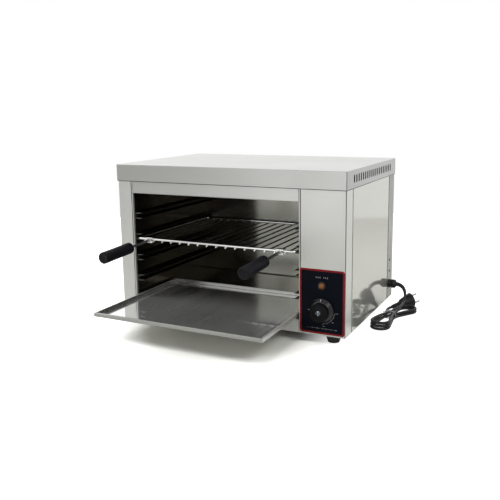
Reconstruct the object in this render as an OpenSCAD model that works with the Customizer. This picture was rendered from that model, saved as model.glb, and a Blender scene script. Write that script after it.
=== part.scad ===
// Electric countertop cheese melter: sheet steel case, open-fronted cavity with four guide
// levels, pull-out rack with two handles, drip tray, control column and mains lead.
// Work frame: x = 0 at the middle of the cover, y = 0 at the cover's front face, z = 0 on the
// table. place() then moves the origin to the middle of the footprint.

/* [Overall] */
// Width of the top cover
cover_w = 580; // [560:1:640]
// Depth of the top cover
cover_d = 381; // [370:1:420]
// Height from the table to the top of the cover
overall_h = 374; // [366:1:400]
// Thickness of the case and liner sheet
sheet_t = 1; // [0.8:0.1:1.2]

/* [Cover] */
// Height of the cover's rim
rim_h = 39; // [34:1:44]
// Gap between the rim and the body at the sides and the back
cover_gap = 0.6; // [0.4:0.1:1.2]
// Gap between the rim and the body at the front
front_gap = 2.2; // [0.6:0.1:3]
// Number of vent slots at each end of the rim
vent_count = 19; // [9:1:19]
// Distance from one vent slot to the next
vent_pitch = 15.7; // [12:0.1:15.7]
// Width of a vent slot
vent_w = 6.5; // [3:0.5:8]
// Distance from a slot's end to the edge of the rim
vent_margin = 11; // [8:0.5:13]

/* [Body] */
// Width of the front left post
post_w = 40.5; // [34:0.5:48]
// Width of the control column
column_w = 105.5; // [104:0.5:112]
// Height of the top rail that shows below the rim
top_rail_show = 29.6; // [24:0.2:34]
// Height of the sill below the opening
sill_h = 30; // [26:1:34]
// Gap between a rail and the post beside it
seam = 1; // [0.6:0.1:1.5]
// Length of the front flanges that wrap round the sides
wrap_d = 41; // [36:1:42]
// Length of the back panel's flanges along the sides
back_wrap = 45; // [40:1:46]
// Width of the groove between a flange and the side panel
groove = 2; // [1:0.1:3]
// Overlap of a side panel behind a flange
lap = 10; // [6:1:14]
// Height of a side panel above the rim's lower edge
side_top_lap = 6; // [3:1:9]
// Depth of the lips above and below the opening
lip_d = 15; // [12:1:18]
// Height of the base pan's upturned edge
pan_edge = 12; // [10:1:15]

/* [Cavity] */
// Gap between the back panel and the cavity's back
back_gap = 38.2; // [36:0.2:60]
// Distance from the top of the cover down to the cavity roof
roof_drop = 34; // [32:1:38]
// Height of the lowest guide's middle above the cavity floor
guide_low = 48; // [44:1:50]
// Distance from one guide level to the next
guide_pitch = 51.3; // [50:0.1:52]
// Number of guide levels
guide_count = 4; // [3:1:4]
// Height of a guide channel
guide_h = 13.6; // [12.6:0.1:14.4]
// Width of a guide channel
guide_w = 15.8; // [14:0.1:17]
// Thickness of a guide channel's sheet
guide_t = 1.2; // [1:0.1:1.5]
// Distance of the guides behind the body's front
guide_front = 7; // [5:1:10]
// Gap between the guides and the lips beside the opening
guide_lip_gap = 1; // [0.4:0.2:2]

/* [Rack] */
// Diameter of the rack's frame rod
rod_d = 6; // [5:0.2:7]
// Gap between the rack and the guide channel's web on each side
rack_play = 5.7; // [4:0.1:7]
// Gap between the rack and the cavity's back
rack_gap = 6.2; // [5:0.2:20]
// Distance of the rack's front ahead of the body's front
rack_out = 1.2; // [1:0.1:4]
// Radius of the frame's corners
rack_corner = 10; // [8:1:14]
// Diameter of a cross wire
wire_d = 3.2; // [2.6:0.1:3.6]
// Distance from one cross wire to the next
wire_pitch = 24.4; // [20:0.1:28]
// Least distance of a cross wire from the middle of the frame's side rod
wire_margin = 20; // [16:1:23]
// Length of a wire's end ahead of the frame
wire_stub = 2; // [0:0.2:4]
// Depth that a wire is welded into the frame
weld_sink = 0.4; // [0.2:0.1:0.6]
// Vertical clearance under a sliding piece
slide_gap = 0.3; // [0.3:0.1:0.5]

/* [Handles] */
// Diameter of a handle rod
handle_rod_d = 6.4; // [5.6:0.2:7]
// Downward tilt of the handles in degrees
handle_droop = 2.6; // [0:0.2:3]
// Free length of a handle rod between its clip and its grip
handle_neck = 76; // [60:1:90]
// Diameter of a grip
grip_d = 26; // [22:1:30]
// Length of a grip
grip_len = 97; // [80:1:110]
// Depth that a rod reaches into its grip
grip_socket = 70; // [40:1:75]
// Gap between a handle clip and the wires beside it
clip_gap = 1.8; // [1:0.1:3]
// Thickness of a handle clip
clip_t = 1.5; // [1.2:0.1:2]
// Height of a handle clip's front
clip_h = 12.8; // [10:0.2:14]
// Depth of a handle clip's top
clip_d = 14; // [10:0.5:18]

/* [Tray] */
// Gap between the drip tray and the opening on each side
tray_play = 6.6; // [4:0.2:9]
// Gap between the drip tray, pushed in, and the cavity's back
tray_gap = 2; // [1:0.5:20]
// Height of the drip tray
tray_h = 9.4; // [8:0.2:14]
// Thickness of the drip tray's sheet
tray_t = 0.8; // [0.6:0.1:1]
// Width of the drip tray's turned-in hem
tray_hem = 4; // [3:0.5:8]
// Distance that the tray stands out of the body at rest
tray_out = 170; // [150:1:190]

/* [Heating] */
// Diameter of an element's sheath
element_d = 8; // [6.5:0.5:8.5]
// Distance between an element's two legs
element_gap = 50; // [40:1:60]
// Distance of the elements below the cavity roof
element_drop = 20; // [16:1:24]
// Distance of an element's bend from the left liner
element_end_gap = 20; // [12:1:40]
// Thickness of an element hanger
hanger_t = 1.5; // [1:0.1:2]

/* [Controls] */
// Width of the fascia label
label_w = 102.5; // [100:0.5:103]
// Height of the fascia label
label_h = 143; // [134:1:150]
// Height of the label's lower edge above the body's lower edge
label_low = 3.3; // [3:0.1:8]
// Corner radius of the label
label_r = 5.5; // [4:0.5:8]
// Width of the label's red border
border_w = 4.2; // [2:0.2:5]
// Thickness of the label
label_t = 0.6; // [0.4:0.1:0.8]
// Height of the knob's axis above the body's lower edge
knob_up = 56; // [50:1:60]
// Diameter of the knob's skirt
skirt_d = 55; // [48:1:58]
// Diameter of the knob's grip
knob_d = 41; // [36:1:44]
// Distance of the knob's face ahead of the body's front
knob_reach = 23; // [20:1:28]
// Diameter of the knob's cap
cap_d = 10.6; // [9:0.2:14]
// Height of the lamp's axis above the body's lower edge
lamp_up = 110.5; // [104:0.5:114]
// Diameter of the lamp's lens
lens_d = 14.4; // [12:0.2:15]
// Diameter of the thermostat's shaft
shaft_d = 6; // [5:0.5:6]
// Diameter of the thermostat's threaded bush
bush_d = 10; // [9:0.5:11]
// Running clearance of the shaft in its bush, on the radius
shaft_play = 0.05; // [0.02:0.01:0.09]

/* [Feet] */
// Height of a foot
foot_h = 18; // [16:1:22]
// Diameter of a foot at its top
foot_top_d = 35; // [30:1:38]
// Diameter of a foot at its base
foot_base_d = 26; // [22:1:28]
// Distance of a foot's axis from the body's side
foot_in_x = 34; // [28:1:44]
// Distance of a foot's axis from the body's front and back
foot_in_y = 24; // [22:1:40]

/* [Mains lead] */
// Diameter of the lead
cord_d = 6.5; // [6:0.1:7]
// Distance of the gland's axis ahead of the body's back
gland_in = 35; // [32:1:37]
// Height of the gland's axis above the body's lower edge
gland_up = 38.5; // [36.5:0.5:40.5]
// Diameter of the gland's nuts
gland_d = 22; // [20:1:24]
// Length of a plug pin
pin_len = 19; // [17:1:20]
// Diameter of a plug pin
pin_d = 4.8; // [4:0.1:5]
// Distance between the plug's pins
pin_pitch = 19; // [17:1:20]

/* [Hidden] */
$fn = 64;
fine = 0.01;

// Case planes
side_x = cover_w / 2 - sheet_t - cover_gap;
front_y = sheet_t + front_gap;
back_y = cover_d - sheet_t - cover_gap;
body_top = overall_h - sheet_t;
rim_low = overall_h - rim_h;
inner_front = front_y + sheet_t;
inner_back = back_y - sheet_t;
pan_x = side_x - 2 * sheet_t;

// Opening and control column
open_x0 = -side_x + post_w;
open_x1 = side_x - column_w;
open_top = rim_low - top_rail_show;
lip_y = front_y + lip_d;
side_lip_y = front_y + guide_front - guide_lip_gap;
side_lip_z = foot_h + pan_edge;
column_mid = side_x - column_w / 2;
screw_r = 2;
screw_head_r = 3.6;
screw_head_h = cover_w / 2 - side_x;
screw_play = 0.1;
through = 1;

// Side seams
wrap_y = front_y + wrap_d;
flange_y = back_y - back_wrap;
side_top = rim_low + side_top_lap;
step = 1.5 * sheet_t;

// Cavity
cavity_x0 = open_x0 - sheet_t;
cavity_x1 = open_x1 + sheet_t;
cavity_back = inner_back - back_gap;
cavity_d = cavity_back - front_y;
floor_z = foot_h + sill_h;
roof_z = overall_h - roof_drop;

// Guides
guide_y1 = cavity_back;
function guide_z(level) = floor_z + guide_low + level * guide_pitch;
rack_level = min(2, guide_count - 1);
channel_x0 = cavity_x0 + guide_t;
channel_x1 = cavity_x1 - guide_t;

// Rack
rod_r = rod_d / 2;
rack_z = guide_z(rack_level) - guide_h / 2 + guide_t + slide_gap + rod_r;
rack_x0 = channel_x0 + rack_play + rod_r;
rack_x1 = channel_x1 - rack_play - rod_r;
rack_mid = (rack_x0 + rack_x1) / 2;
rack_y0 = front_y - rack_out + rod_r;
rack_y1 = cavity_back - rack_gap - rod_r;
rack_d = rack_y1 - rack_y0 + rod_d;
wire_count = 1 + floor((rack_x1 - rack_x0 - 2 * wire_margin) / wire_pitch);
wire_z = rack_z - rod_r - wire_d / 2 + weld_sink;

// Handles, each midway between the two outermost wires
handle_spacing = (wire_count - 2) * wire_pitch;
clip_w = wire_pitch - wire_d - 2 * clip_gap;
clip_y = rack_y0 - rod_r - clip_t;
handle_z = rack_z - 2.4;
weld_in = 0.5;
grip_round = 3;
grip_play = 0.05;
handle_sides = [-1, 1];

// Tray
tray_x0 = open_x0 + tray_play;
tray_x1 = open_x1 - tray_play;
tray_y0 = front_y - tray_out;
tray_d = cavity_d - tray_gap;
tray_z = floor_z + slide_gap;

// Heating elements
element_r = element_d / 2;
element_z = roof_z - element_drop;
element_count = 3;
function element_y(i) = front_y + cavity_d * (i + 0.5) / element_count;
element_bend_x = cavity_x0 + element_end_gap + element_gap / 2 + element_r;
bush_neck_r = element_r + 1.4;
bush_flange_r = bush_neck_r + 2.6;
bush_flange_t = 5;
bush_play = 0.05;
liner_hole_play = 0.15;
element_out = 16;
element_tail_x = cavity_x1 + sheet_t + element_out;
terminal_r = 2;
terminal_len = 9;
hanger_margin = 9;
hanger_in = [90, 110];
hanger_x = [cavity_x0 + hanger_in[0], cavity_x1 - hanger_in[1]];

// Controls
label_z0 = foot_h + label_low;
label_y = front_y - label_t;
knob_z = foot_h + knob_up;
lamp_z = foot_h + lamp_up;
bush_r = bush_d / 2;
shaft_r = shaft_d / 2;
hole_play = 0.2;
nut_h = 2.6;
thread_show = 0.6;
nut_af_r = bush_r + 3;
nut_front = label_y - nut_h;
bush_front = nut_front - thread_show;
knob_gap = 0.8;
knob_back = label_y - knob_gap;
knob_face = front_y - knob_reach;
knob_recess_r = nut_af_r + 1.6;
knob_recess_y = bush_front - 1;
skirt_front = knob_back - 10.5;
hub_r = knob_recess_r + 2.5;
skirt_edge = 2;
cap_h = 1.2;
knob_round = 1.6;
skirt_bevel = 0.6;
cap_bevel = 0.4;
shaft_front = knob_face + 5;
plate_t = 1.5;
plate_half = [30, 13];
stat_half = [22, 17];
stat_y0 = inner_front + plate_t;
stat_y1 = stat_y0 + 32;
shaft_back = stat_y0 + 10;
blade = [0.8, 8, 6.3];
stat_blades = [-12, 0, 12];
lamp_blades = [-3, 3];
lamp_barrel_r = 6.3;
lamp_flange_r = lens_d / 2 + 1.8;
lamp_flange_t = 2;
lamp_back = inner_front + 28;
lens_rise = 3.6;
lens_edge = 0.8;

// Capillary and bulb, on the roof
bulb_r = 3;
bulb_len = 90;
roof_top = roof_z + sheet_t;
bulb_at = [cavity_x1 - 130, front_y + 190, roof_top + bulb_r];
bulb_clip_w = 8;
bulb_clip_x = [12, bulb_len - 12 - bulb_clip_w];
bulb_clip_foot = 9;
capillary_r = 1;
stat_top = [column_mid - 15, stat_y0 + 10, knob_z + stat_half[1]];
capillary_pts = [stat_top, stat_top + [0, 1, 20], [stat_top[0], stat_top[1] + 4, lamp_z + 14],
    [stat_top[0] - 1, stat_top[1] + 30, lamp_z + 80], stat_top + [-2, 90, 190],
    [column_mid - 18, bulb_at[1] - 42, roof_top - 6],
    [cavity_x1 + 6, bulb_at[1] - 13, roof_top + 12],
    [cavity_x1 - 20, bulb_at[1] - 3, roof_top + 6], bulb_at + [bulb_len, 0, 0]];

// Feet
foot_x = side_x - foot_in_x;
foot_y0 = front_y + foot_in_y;
foot_y1 = back_y - foot_in_y;
foot_screw_r = 3;
foot_screw_len = 12;
foot_screw_head_r = 5.4;
foot_screw_head_h = 3.4;
foot_screw_play = 0.05;
foot_recess_r = 6.5;
foot_recess_h = 3;
foot_hole_play = 0.3;
foot_edge = 1;

// Screws: side screws hold the terminal bracket, cover and back screws the back panel
side_screw_y = back_y - 29.5;
side_screw_z = [foot_h + 70, foot_h + 99];
side_screw_len = 7;
back_screw_x = [-0.72 * side_x, 0, 0.72 * side_x];
back_screw_z = foot_h + pan_edge / 2;
back_screw_len = 6;
cover_screw_z = overall_h - rim_h / 2;
slot_w = 4;
slot_h = 26;
slot_count = 12;
slot_pitch = 14;
slot_top = rim_low - 16;

// Electrics in the control column
poles = 3;
block = [46, 22, 20];
pole_row = 6;
pole_hole_r = 2.6;
pole_hole_h = 6;
block_slit = [1.6, 9];
block_at = [column_mid - 34, inner_back - 74, foot_h + sheet_t];
pole_front = pole_row;
pole_back = block[1] - pole_row;
stud_at = [column_mid - 24, inner_back - 30, foot_h + sheet_t];
stud_r = 2.5;
stud_h = 15;
stud_nut_r = 4.6;
stud_nut_h = 4;
stud_nut_gap = 3;
wire_r = 1.5;
core_ring = 1.8;
core_gap = 0.3;
pole_rise = 8;
tab_rise = 14;
loom_out = 60;
loom_side = 14;
feed_drop = 45;
return_drop = 90;
wire_sides = 8;

// Cable gland
gland_y = back_y - gland_in;
gland_z = foot_h + gland_up;
gland_r = gland_d / 2;
thread_r = 8;
thread_play = 0.2;
collar_len = 6;
waist_len = 1.4;
waist_r = 9;
dome_len = 12.6;
dome_round = 5;
dome_bevel = 0.8;
dome_x = side_x + collar_len + waist_len;
dome_end = dome_x + dome_len;
locknut_t = 4;
locknut_rim = 4;
locknut_x = side_x - 2 * sheet_t;
gland_tail = 8;
gland_inner = locknut_x - locknut_t - gland_tail;
cord_r = cord_d / 2;
cord_play = 0.3;

// Route of the free lead, from the gland to the top of the hank
lead_pts = [[side_x, gland_y, gland_z], [dome_end, gland_y, gland_z], [317.5, 343.4, 55.2],
    [325.5, 340.5, 51.7], [331.5, 336, 46], [335, 330.4, 39.4], [337, 323.5, 33],
    [338.2, 315, 27.6], [339, 305, 23.7], [339.2, 294, 21.4], [339, 282, 20.2],
    [338.5, 270, 19], [337.5, 260, 17.5]];
lead_sides = 10;
lead_steps = 3;

// Hank: front lobe, waist at the tie, rear lobe and the tail to the plug
tie_t = 1.2;
tie_w = 8;
hank_h = 20;
hank_front = [322, 152];
hank_front_r = 24;
waist_x = [306, 340];
waist_y = [224, 240];
hank_rear = [350, 296];
hank_rear_r = 25;
hank_tail = [306.5, 303];
hank_tail_r = 6;

// Plug: its face's middle, heading, tilt and roll, and its profile
plug_at = [348.5, 349, 18.6];
plug_heading = 45;
plug_tilt = 13;
plug_roll = -30;
plug_profile = [[0, 0], [17.6, 0], [18.4, -0.8], [18, -3], [16.3, -10], [11.4, -30], [9.4, -34],
    [6.6, -36], [4.7, -58], [0, -58]];

// The footprint runs from the grips' front to the heads of the cover's back screws
grip_front = clip_y + weld_in - (handle_neck + grip_len) * cos(handle_droop)
    - grip_d / 2 * sin(handle_droop);
mid_y = (min(grip_front, tray_y0) + cover_d + screw_head_h) / 2;

module place() {
    translate([0, -mid_y, 0]) children();
}

// ---- Helpers ----

// A box from its low corner to its high corner
module block_between(low, high) {
    translate(low) cube(high - low);
}

// A rod along x, y or z
module rod_x(from, len, r) {
    translate(from) rotate([0, 90, 0]) cylinder(h = len, r = r);
}
module rod_y(from, len, r) {
    translate(from) rotate([-90, 0, 0]) cylinder(h = len, r = r);
}
module rod_z(from, len, r) {
    translate(from) cylinder(h = len, r = r);
}

// A turned piece whose profile is [radius, distance ahead of the point], facing the front
module turned_y(at, profile) {
    translate(at) rotate([90, 0, 0]) rotate_extrude() polygon(profile);
}

// A turned piece whose profile is [radius, distance towards +x]
module turned_x(at, profile) {
    translate(at) rotate([0, 90, 0]) rotate_extrude() polygon(profile);
}

// A rounded plate in the front plane
module round_plate(width, height, r, thick) {
    rotate([90, 0, 0]) linear_extrude(height = thick) union() {
        translate([r, 0]) square([width - 2 * r, height]);
        translate([0, r]) square([width, height - 2 * r]);
        for (x = [r, width - r], z = [r, height - r]) translate([x, z]) circle(r = r);
    }
}

function unit(v) = v / norm(v);
function last(list) = list[len(list) - 1];

// A smooth curve through the points
function curve_at(a, b, c, d, t) = 0.5 * (2 * b + (c - a) * t + (2 * a - 5 * b + 4 * c - d) * t * t
    + (3 * b - a - 3 * c + d) * t * t * t);
function smooth(p, steps) = concat(
    [for (i = [0 : len(p) - 2], j = [0 : steps - 1])
        curve_at(p[max(i - 1, 0)], p[i], p[i + 1], p[min(i + 2, len(p) - 1)], j / steps)],
    [last(p)]);
function heading(p, i) = unit(p[min(i + 1, len(p) - 1)] - p[max(i - 1, 0)]);
function across(v, t) = unit(v - (v * t) * t);
function sideways(t) = abs(t[2]) > 0.9 ? across([1, 0, 0], t) : across([0, 0, 1], t);

// A tube that follows the points, with rings that don't twist
module tube(p, r, sides) {
    count = len(p);
    normals = [for (i = 0, v = sideways(heading(p, 0)); i < count;
        i = i + 1, v = across(v, heading(p, min(i, count - 1)))) v];
    rings = [for (i = [0 : count - 1], k = [0 : sides - 1])
        p[i] + r * (cos(360 * k / sides) * normals[i]
            + sin(360 * k / sides) * cross(heading(p, i), normals[i]))];
    walls = [for (i = [0 : count - 2], k = [0 : sides - 1], half = [0, 1])
        let (a = i * sides + k, b = i * sides + (k + 1) % sides)
            half == 0 ? [a, a + sides, b] : [b, a + sides, b + sides]];
    near = [[for (k = [0 : sides - 1]) k]];
    far = [[for (k = [sides - 1 : -1 : 0]) (count - 1) * sides + k]];
    polyhedron(points = rings, faces = concat(walls, near, far));
}

// ---- Shell ----

module vent_slots() {
    for (i = [0 : vent_count - 1]) {
        y = cover_d / 2 + (i - (vent_count - 1) / 2) * vent_pitch;
        block_between([-cover_w, y - vent_w / 2, rim_low + vent_margin],
            [cover_w, y + vent_w / 2, overall_h - vent_margin]);
    }
}

module top_cover() {
    color("lightgray") difference() {
        block_between([-cover_w / 2, 0, rim_low], [cover_w / 2, cover_d, overall_h]);
        block_between([-cover_w / 2 + sheet_t, sheet_t, rim_low - 1],
            [cover_w / 2 - sheet_t, cover_d - sheet_t, overall_h - sheet_t]);
        vent_slots();
        for (x = back_screw_x)
            rod_y([x, cover_d - 2 * sheet_t, cover_screw_z], 3 * sheet_t, screw_r + screw_play);
    }
}

module front_left_post() {
    color("silver") union() {
        block_between([-side_x, front_y, foot_h], [open_x0, inner_front, body_top]);
        block_between([-side_x, front_y, foot_h], [-side_x + sheet_t, wrap_y, body_top]);
        block_between([open_x0 - sheet_t, front_y, side_lip_z],
            [open_x0, side_lip_y, body_top]);
    }
}

module control_panel() {
    color("silver") difference() {
        union() {
            block_between([open_x1, front_y, foot_h], [side_x, inner_front, body_top]);
            block_between([side_x - sheet_t, front_y, foot_h], [side_x, wrap_y, body_top]);
            block_between([open_x1, front_y, side_lip_z],
                [open_x1 + sheet_t, side_lip_y, body_top]);
        }
        rod_y([column_mid, 0, knob_z], 2 * inner_front, bush_r + hole_play);
        rod_y([column_mid, 0, lamp_z], 2 * inner_front, lamp_barrel_r + hole_play);
    }
}

module front_top_rail() {
    x0 = open_x0 + seam;
    x1 = open_x1 - seam;
    color("silver") union() {
        block_between([x0, front_y, open_top], [x1, inner_front, body_top]);
        block_between([x0, front_y, open_top], [x1, lip_y, open_top + sheet_t]);
        block_between([x0, front_y, body_top - sheet_t], [x1, lip_y, body_top]);
    }
}

module front_sill() {
    x0 = open_x0 + seam;
    x1 = open_x1 - seam;
    top = floor_z - sheet_t;
    color("silver") union() {
        block_between([x0, front_y, foot_h], [x1, inner_front, top]);
        block_between([x0, front_y, top - sheet_t], [x1, lip_y, top]);
    }
}

// A joggled side sheet for the side x = side_x: its field is flush with the flanges
module side_sheet() {
    field_y0 = wrap_y + groove;
    field_y1 = flange_y - groove;
    block_between([side_x - sheet_t, field_y0, foot_h], [side_x, field_y1, side_top]);
    block_between([side_x - 2 * sheet_t, wrap_y - lap, foot_h],
        [side_x - sheet_t, field_y0 + step, side_top]);
    block_between([side_x - 2 * sheet_t, field_y1 - step, foot_h],
        [side_x - sheet_t, flange_y + lap, side_top]);
}

module left_side_panel() {
    color("gainsboro") mirror([1, 0, 0]) union() side_sheet();
}

module gland_hole() {
    rod_x([side_x - 4 * sheet_t, gland_y, gland_z], 8 * sheet_t, thread_r + thread_play);
}

module right_side_panel() {
    color("gainsboro") difference() {
        union() side_sheet();
        gland_hole();
    }
}

module back_panel() {
    color("silver") difference() {
        union() {
            block_between([-side_x, inner_back, foot_h], [side_x, back_y, body_top]);
            for (side = [0, 1]) mirror([side, 0, 0])
                block_between([side_x - sheet_t, flange_y, foot_h], [side_x, back_y, body_top]);
            block_between([-side_x, back_y - lip_d, body_top - sheet_t],
                [side_x, back_y, body_top]);
        }
        gland_hole();
        for (z = side_screw_z)
            rod_x([side_x - 2 * sheet_t, side_screw_y, z], 4 * sheet_t, screw_r + screw_play);
        for (x = back_screw_x, z = [back_screw_z, cover_screw_z])
            rod_y([x, inner_back - sheet_t, z], 3 * sheet_t, screw_r + screw_play);
        for (i = [0 : slot_count - 1])
            translate([(i - (slot_count - 1) / 2) * slot_pitch - slot_w / 2,
                inner_back - sheet_t, slot_top - slot_h])
                cube([slot_w, 3 * sheet_t, slot_h]);
    }
}

module base_pan() {
    color("darkgray") difference() {
        block_between([-pan_x, inner_front, foot_h], [pan_x, inner_back, foot_h + pan_edge]);
        block_between([-pan_x + sheet_t, inner_front + sheet_t, foot_h + sheet_t],
            [pan_x - sheet_t, inner_back - sheet_t, foot_h + pan_edge + 1]);
        for (x = [-foot_x, foot_x], y = [foot_y0, foot_y1])
            rod_z([x, y, foot_h - 1], sheet_t + 2, foot_screw_r + foot_hole_play);
        for (x = back_screw_x)
            rod_y([x, inner_back - 2 * sheet_t, back_screw_z], 3 * sheet_t,
                screw_r + screw_play);
    }
}

// ---- Cavity ----

module left_liner() {
    color("whitesmoke") block_between([cavity_x0 - sheet_t, inner_front, floor_z],
        [cavity_x0, cavity_back, roof_z]);
}

module right_liner() {
    color("whitesmoke") difference() {
        block_between([cavity_x1, inner_front, floor_z],
            [cavity_x1 + sheet_t, cavity_back, roof_z]);
        for (i = [0 : element_count - 1], side = [-1, 1])
            rod_x([cavity_x1 - sheet_t, element_y(i) + side * element_gap / 2, element_z],
                3 * sheet_t, bush_neck_r + liner_hole_play);
    }
}

module back_liner() {
    color("whitesmoke") block_between([cavity_x0 - sheet_t, cavity_back, floor_z],
        [cavity_x1 + sheet_t, cavity_back + sheet_t, roof_z]);
}

// A sheet over the whole cavity, narrowed in front to pass between the lips of the opening
module cavity_sheet(z) {
    block_between([cavity_x0 - sheet_t, side_lip_y, z],
        [cavity_x1 + sheet_t, cavity_back + sheet_t, z + sheet_t]);
    block_between([open_x0 + seam, inner_front, z],
        [open_x1 - seam, side_lip_y + fine, z + sheet_t]);
}

module cavity_floor() {
    color("whitesmoke") union() {
        cavity_sheet(floor_z - sheet_t);
        block_between([open_x0 + seam, front_y, floor_z - sheet_t],
            [open_x1 - seam, inner_front + fine, floor_z]);
    }
}

module cavity_roof() {
    color("gainsboro") union() cavity_sheet(roof_z);
}

// One side's guide channels for a wall at x, opening towards dir
module guide_channels(x, dir) {
    for (level = [0 : guide_count - 1]) {
        z = guide_z(level);
        translate([x, front_y + guide_front, z - guide_h / 2]) mirror([dir < 0 ? 1 : 0, 0, 0])
            difference() {
                cube([guide_w, guide_y1 - front_y - guide_front, guide_h]);
                translate([guide_t, -1, guide_t])
                    cube([guide_w, guide_y1 - front_y, guide_h - 2 * guide_t]);
            }
    }
}

module left_guides() {
    color("silver") guide_channels(cavity_x0, 1);
}

module right_guides() {
    color("silver") guide_channels(cavity_x1, -1);
}

// ---- Heating ----

module hairpin(i) {
    y = element_y(i);
    r = element_gap / 2;
    for (side = [-1, 1]) {
        rod_x([element_bend_x, y + side * r, element_z],
            element_tail_x - element_bend_x, element_r);
        rod_x([element_tail_x - fine, y + side * r, element_z], terminal_len, terminal_r);
    }
    translate([element_bend_x, y, element_z]) rotate([0, 0, 90])
        rotate_extrude(angle = 180) translate([r, 0]) circle(r = element_r);
}

module element_front() { color("dimgray") union() hairpin(0); }
module element_middle() { color("dimgray") union() hairpin(1); }
module element_rear() { color("dimgray") union() hairpin(2); }

module element_hangers() {
    reach = element_gap / 2 + hanger_margin;
    color("silver") for (x = hanger_x, i = [0 : element_count - 1]) difference() {
        block_between([x, element_y(i) - reach, element_z - hanger_margin],
            [x + hanger_t, element_y(i) + reach, roof_z]);
        for (side = [-1, 1])
            rod_x([x - 1, element_y(i) + side * element_gap / 2, element_z], hanger_t + 2,
                element_r + bush_play);
    }
}

module element_bushes() {
    outer_x = cavity_x1 + sheet_t;
    color("ivory") for (i = [0 : element_count - 1], side = [-1, 1])
        translate([cavity_x1, element_y(i) + side * element_gap / 2, element_z]) difference() {
            union() {
                rod_x([-sheet_t, 0, 0], outer_x - cavity_x1 + sheet_t + fine, bush_neck_r);
                rod_x([sheet_t, 0, 0], bush_flange_t, bush_flange_r);
            }
            rod_x([-2 * sheet_t, 0, 0], bush_flange_t + 4 * sheet_t, element_r + bush_play);
        }
}

// ---- Rack ----

module rack_frame() {
    c = rack_corner;
    color("silver") union() {
        for (y = [rack_y0, rack_y1])
            rod_x([rack_x0 + c, y, rack_z], rack_x1 - rack_x0 - 2 * c, rod_r);
        for (x = [rack_x0, rack_x1])
            rod_y([x, rack_y0 + c, rack_z], rack_y1 - rack_y0 - 2 * c, rod_r);
        for (corner = [[rack_x0 + c, rack_y0 + c, 180], [rack_x1 - c, rack_y0 + c, 270],
            [rack_x1 - c, rack_y1 - c, 0], [rack_x0 + c, rack_y1 - c, 90]])
            translate([corner[0], corner[1], rack_z]) rotate([0, 0, corner[2]])
                rotate_extrude(angle = 90) translate([c, 0]) circle(r = rod_r);
    }
}

module rack_wires() {
    color("gray") for (i = [0 : wire_count - 1])
        rod_y([rack_mid + (i - (wire_count - 1) / 2) * wire_pitch,
            rack_y0 - rod_r - wire_stub, wire_z], rack_d + wire_stub, wire_d / 2);
}

// Local z runs forward along the handle, from the clip to the grip
module along_handle(side) {
    translate([rack_mid + side * handle_spacing / 2, clip_y + weld_in, handle_z])
        rotate([90 + handle_droop, 0, 0]) children();
}

module handle_rods() {
    color("silver") for (side = handle_sides)
        along_handle(side) cylinder(h = handle_neck + grip_socket, d = handle_rod_d);
}

module handle_clips() {
    top = rack_z + rod_r + clip_t;
    color("silver") for (side = handle_sides)
        translate([rack_mid + side * handle_spacing / 2 - clip_w / 2, clip_y, top]) union() {
            block_between([0, 0, -clip_h], [clip_w, clip_t, 0]);
            block_between([0, 0, -clip_t], [clip_w, clip_d, 0]);
        }
}

module grip(side) {
    r = grip_d / 2;
    round_r = grip_round;
    color([0.12, 0.12, 0.13]) along_handle(side) translate([0, 0, handle_neck]) difference() {
        rotate_extrude() union() {
            square([r - round_r, grip_len]);
            translate([0, round_r]) square([r, grip_len - 2 * round_r]);
            for (z = [round_r, grip_len - round_r]) intersection() {
                translate([r - round_r, z]) circle(r = round_r);
                square([r, grip_len]);
            }
        }
        translate([0, 0, -1]) cylinder(h = grip_socket + 1, d = handle_rod_d + 2 * grip_play);
    }
}

module left_grip() { grip(-1); }
module right_grip() { grip(1); }

// ---- Tray ----

module drip_tray() {
    top = tray_z + tray_h;
    low = [tray_x0, tray_y0, tray_z];
    high = [tray_x1, tray_y0 + tray_d, top];
    inset = [tray_t, tray_t, 0];
    hem = [tray_t + tray_hem, tray_t + tray_hem, 0];
    color("lightgray") difference() {
        block_between(low, high);
        block_between(low + inset + [0, 0, tray_t], high - inset - [0, 0, tray_t]);
        block_between(low + hem + [0, 0, tray_t], high - hem + [0, 0, 1]);
    }
}

// ---- Controls ----

// The label's outline, set in by an inset, from the plane y forwards
module label_field(inset, y, thick) {
    translate([column_mid - label_w / 2 + inset, y, label_z0 + inset])
        round_plate(label_w - 2 * inset, label_h - 2 * inset, label_r - inset, thick);
}

module control_label() {
    color([0.07, 0.09, 0.16]) difference() {
        label_field(border_w, front_y, label_t);
        rod_y([column_mid, 0, knob_z], 2 * front_y, bush_r + hole_play);
        rod_y([column_mid, 0, lamp_z], 2 * front_y, lamp_barrel_r + hole_play);
    }
}

module label_border() {
    color([0.55, 0.12, 0.16]) difference() {
        label_field(0, front_y, label_t);
        label_field(border_w, front_y + 1, label_t + 2);
    }
}

// A push-on tab that stands out to the back
module tab(at) {
    translate(at + [-blade[0] / 2, -fine, -blade[2] / 2]) cube(blade);
}

module lamp_holder() {
    color([0.1, 0.1, 0.1]) translate([column_mid, 0, lamp_z]) union() {
        rod_y([0, label_y - lamp_flange_t, 0], lamp_flange_t, lamp_flange_r);
        rod_y([0, label_y - fine, 0], lamp_back - label_y, lamp_barrel_r);
        for (x = lamp_blades) tab([x, lamp_back, 0]);
    }
}

module lamp_lens() {
    r = lens_d / 2;
    color("orange") turned_y([column_mid, label_y - lamp_flange_t, lamp_z],
        concat([[0, 0], [r, 0]],
            [for (a = [0 : 15 : 75]) [r * cos(a), lens_edge + lens_rise * sin(a)]],
            [[0, lens_edge + lens_rise]]));
}

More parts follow.
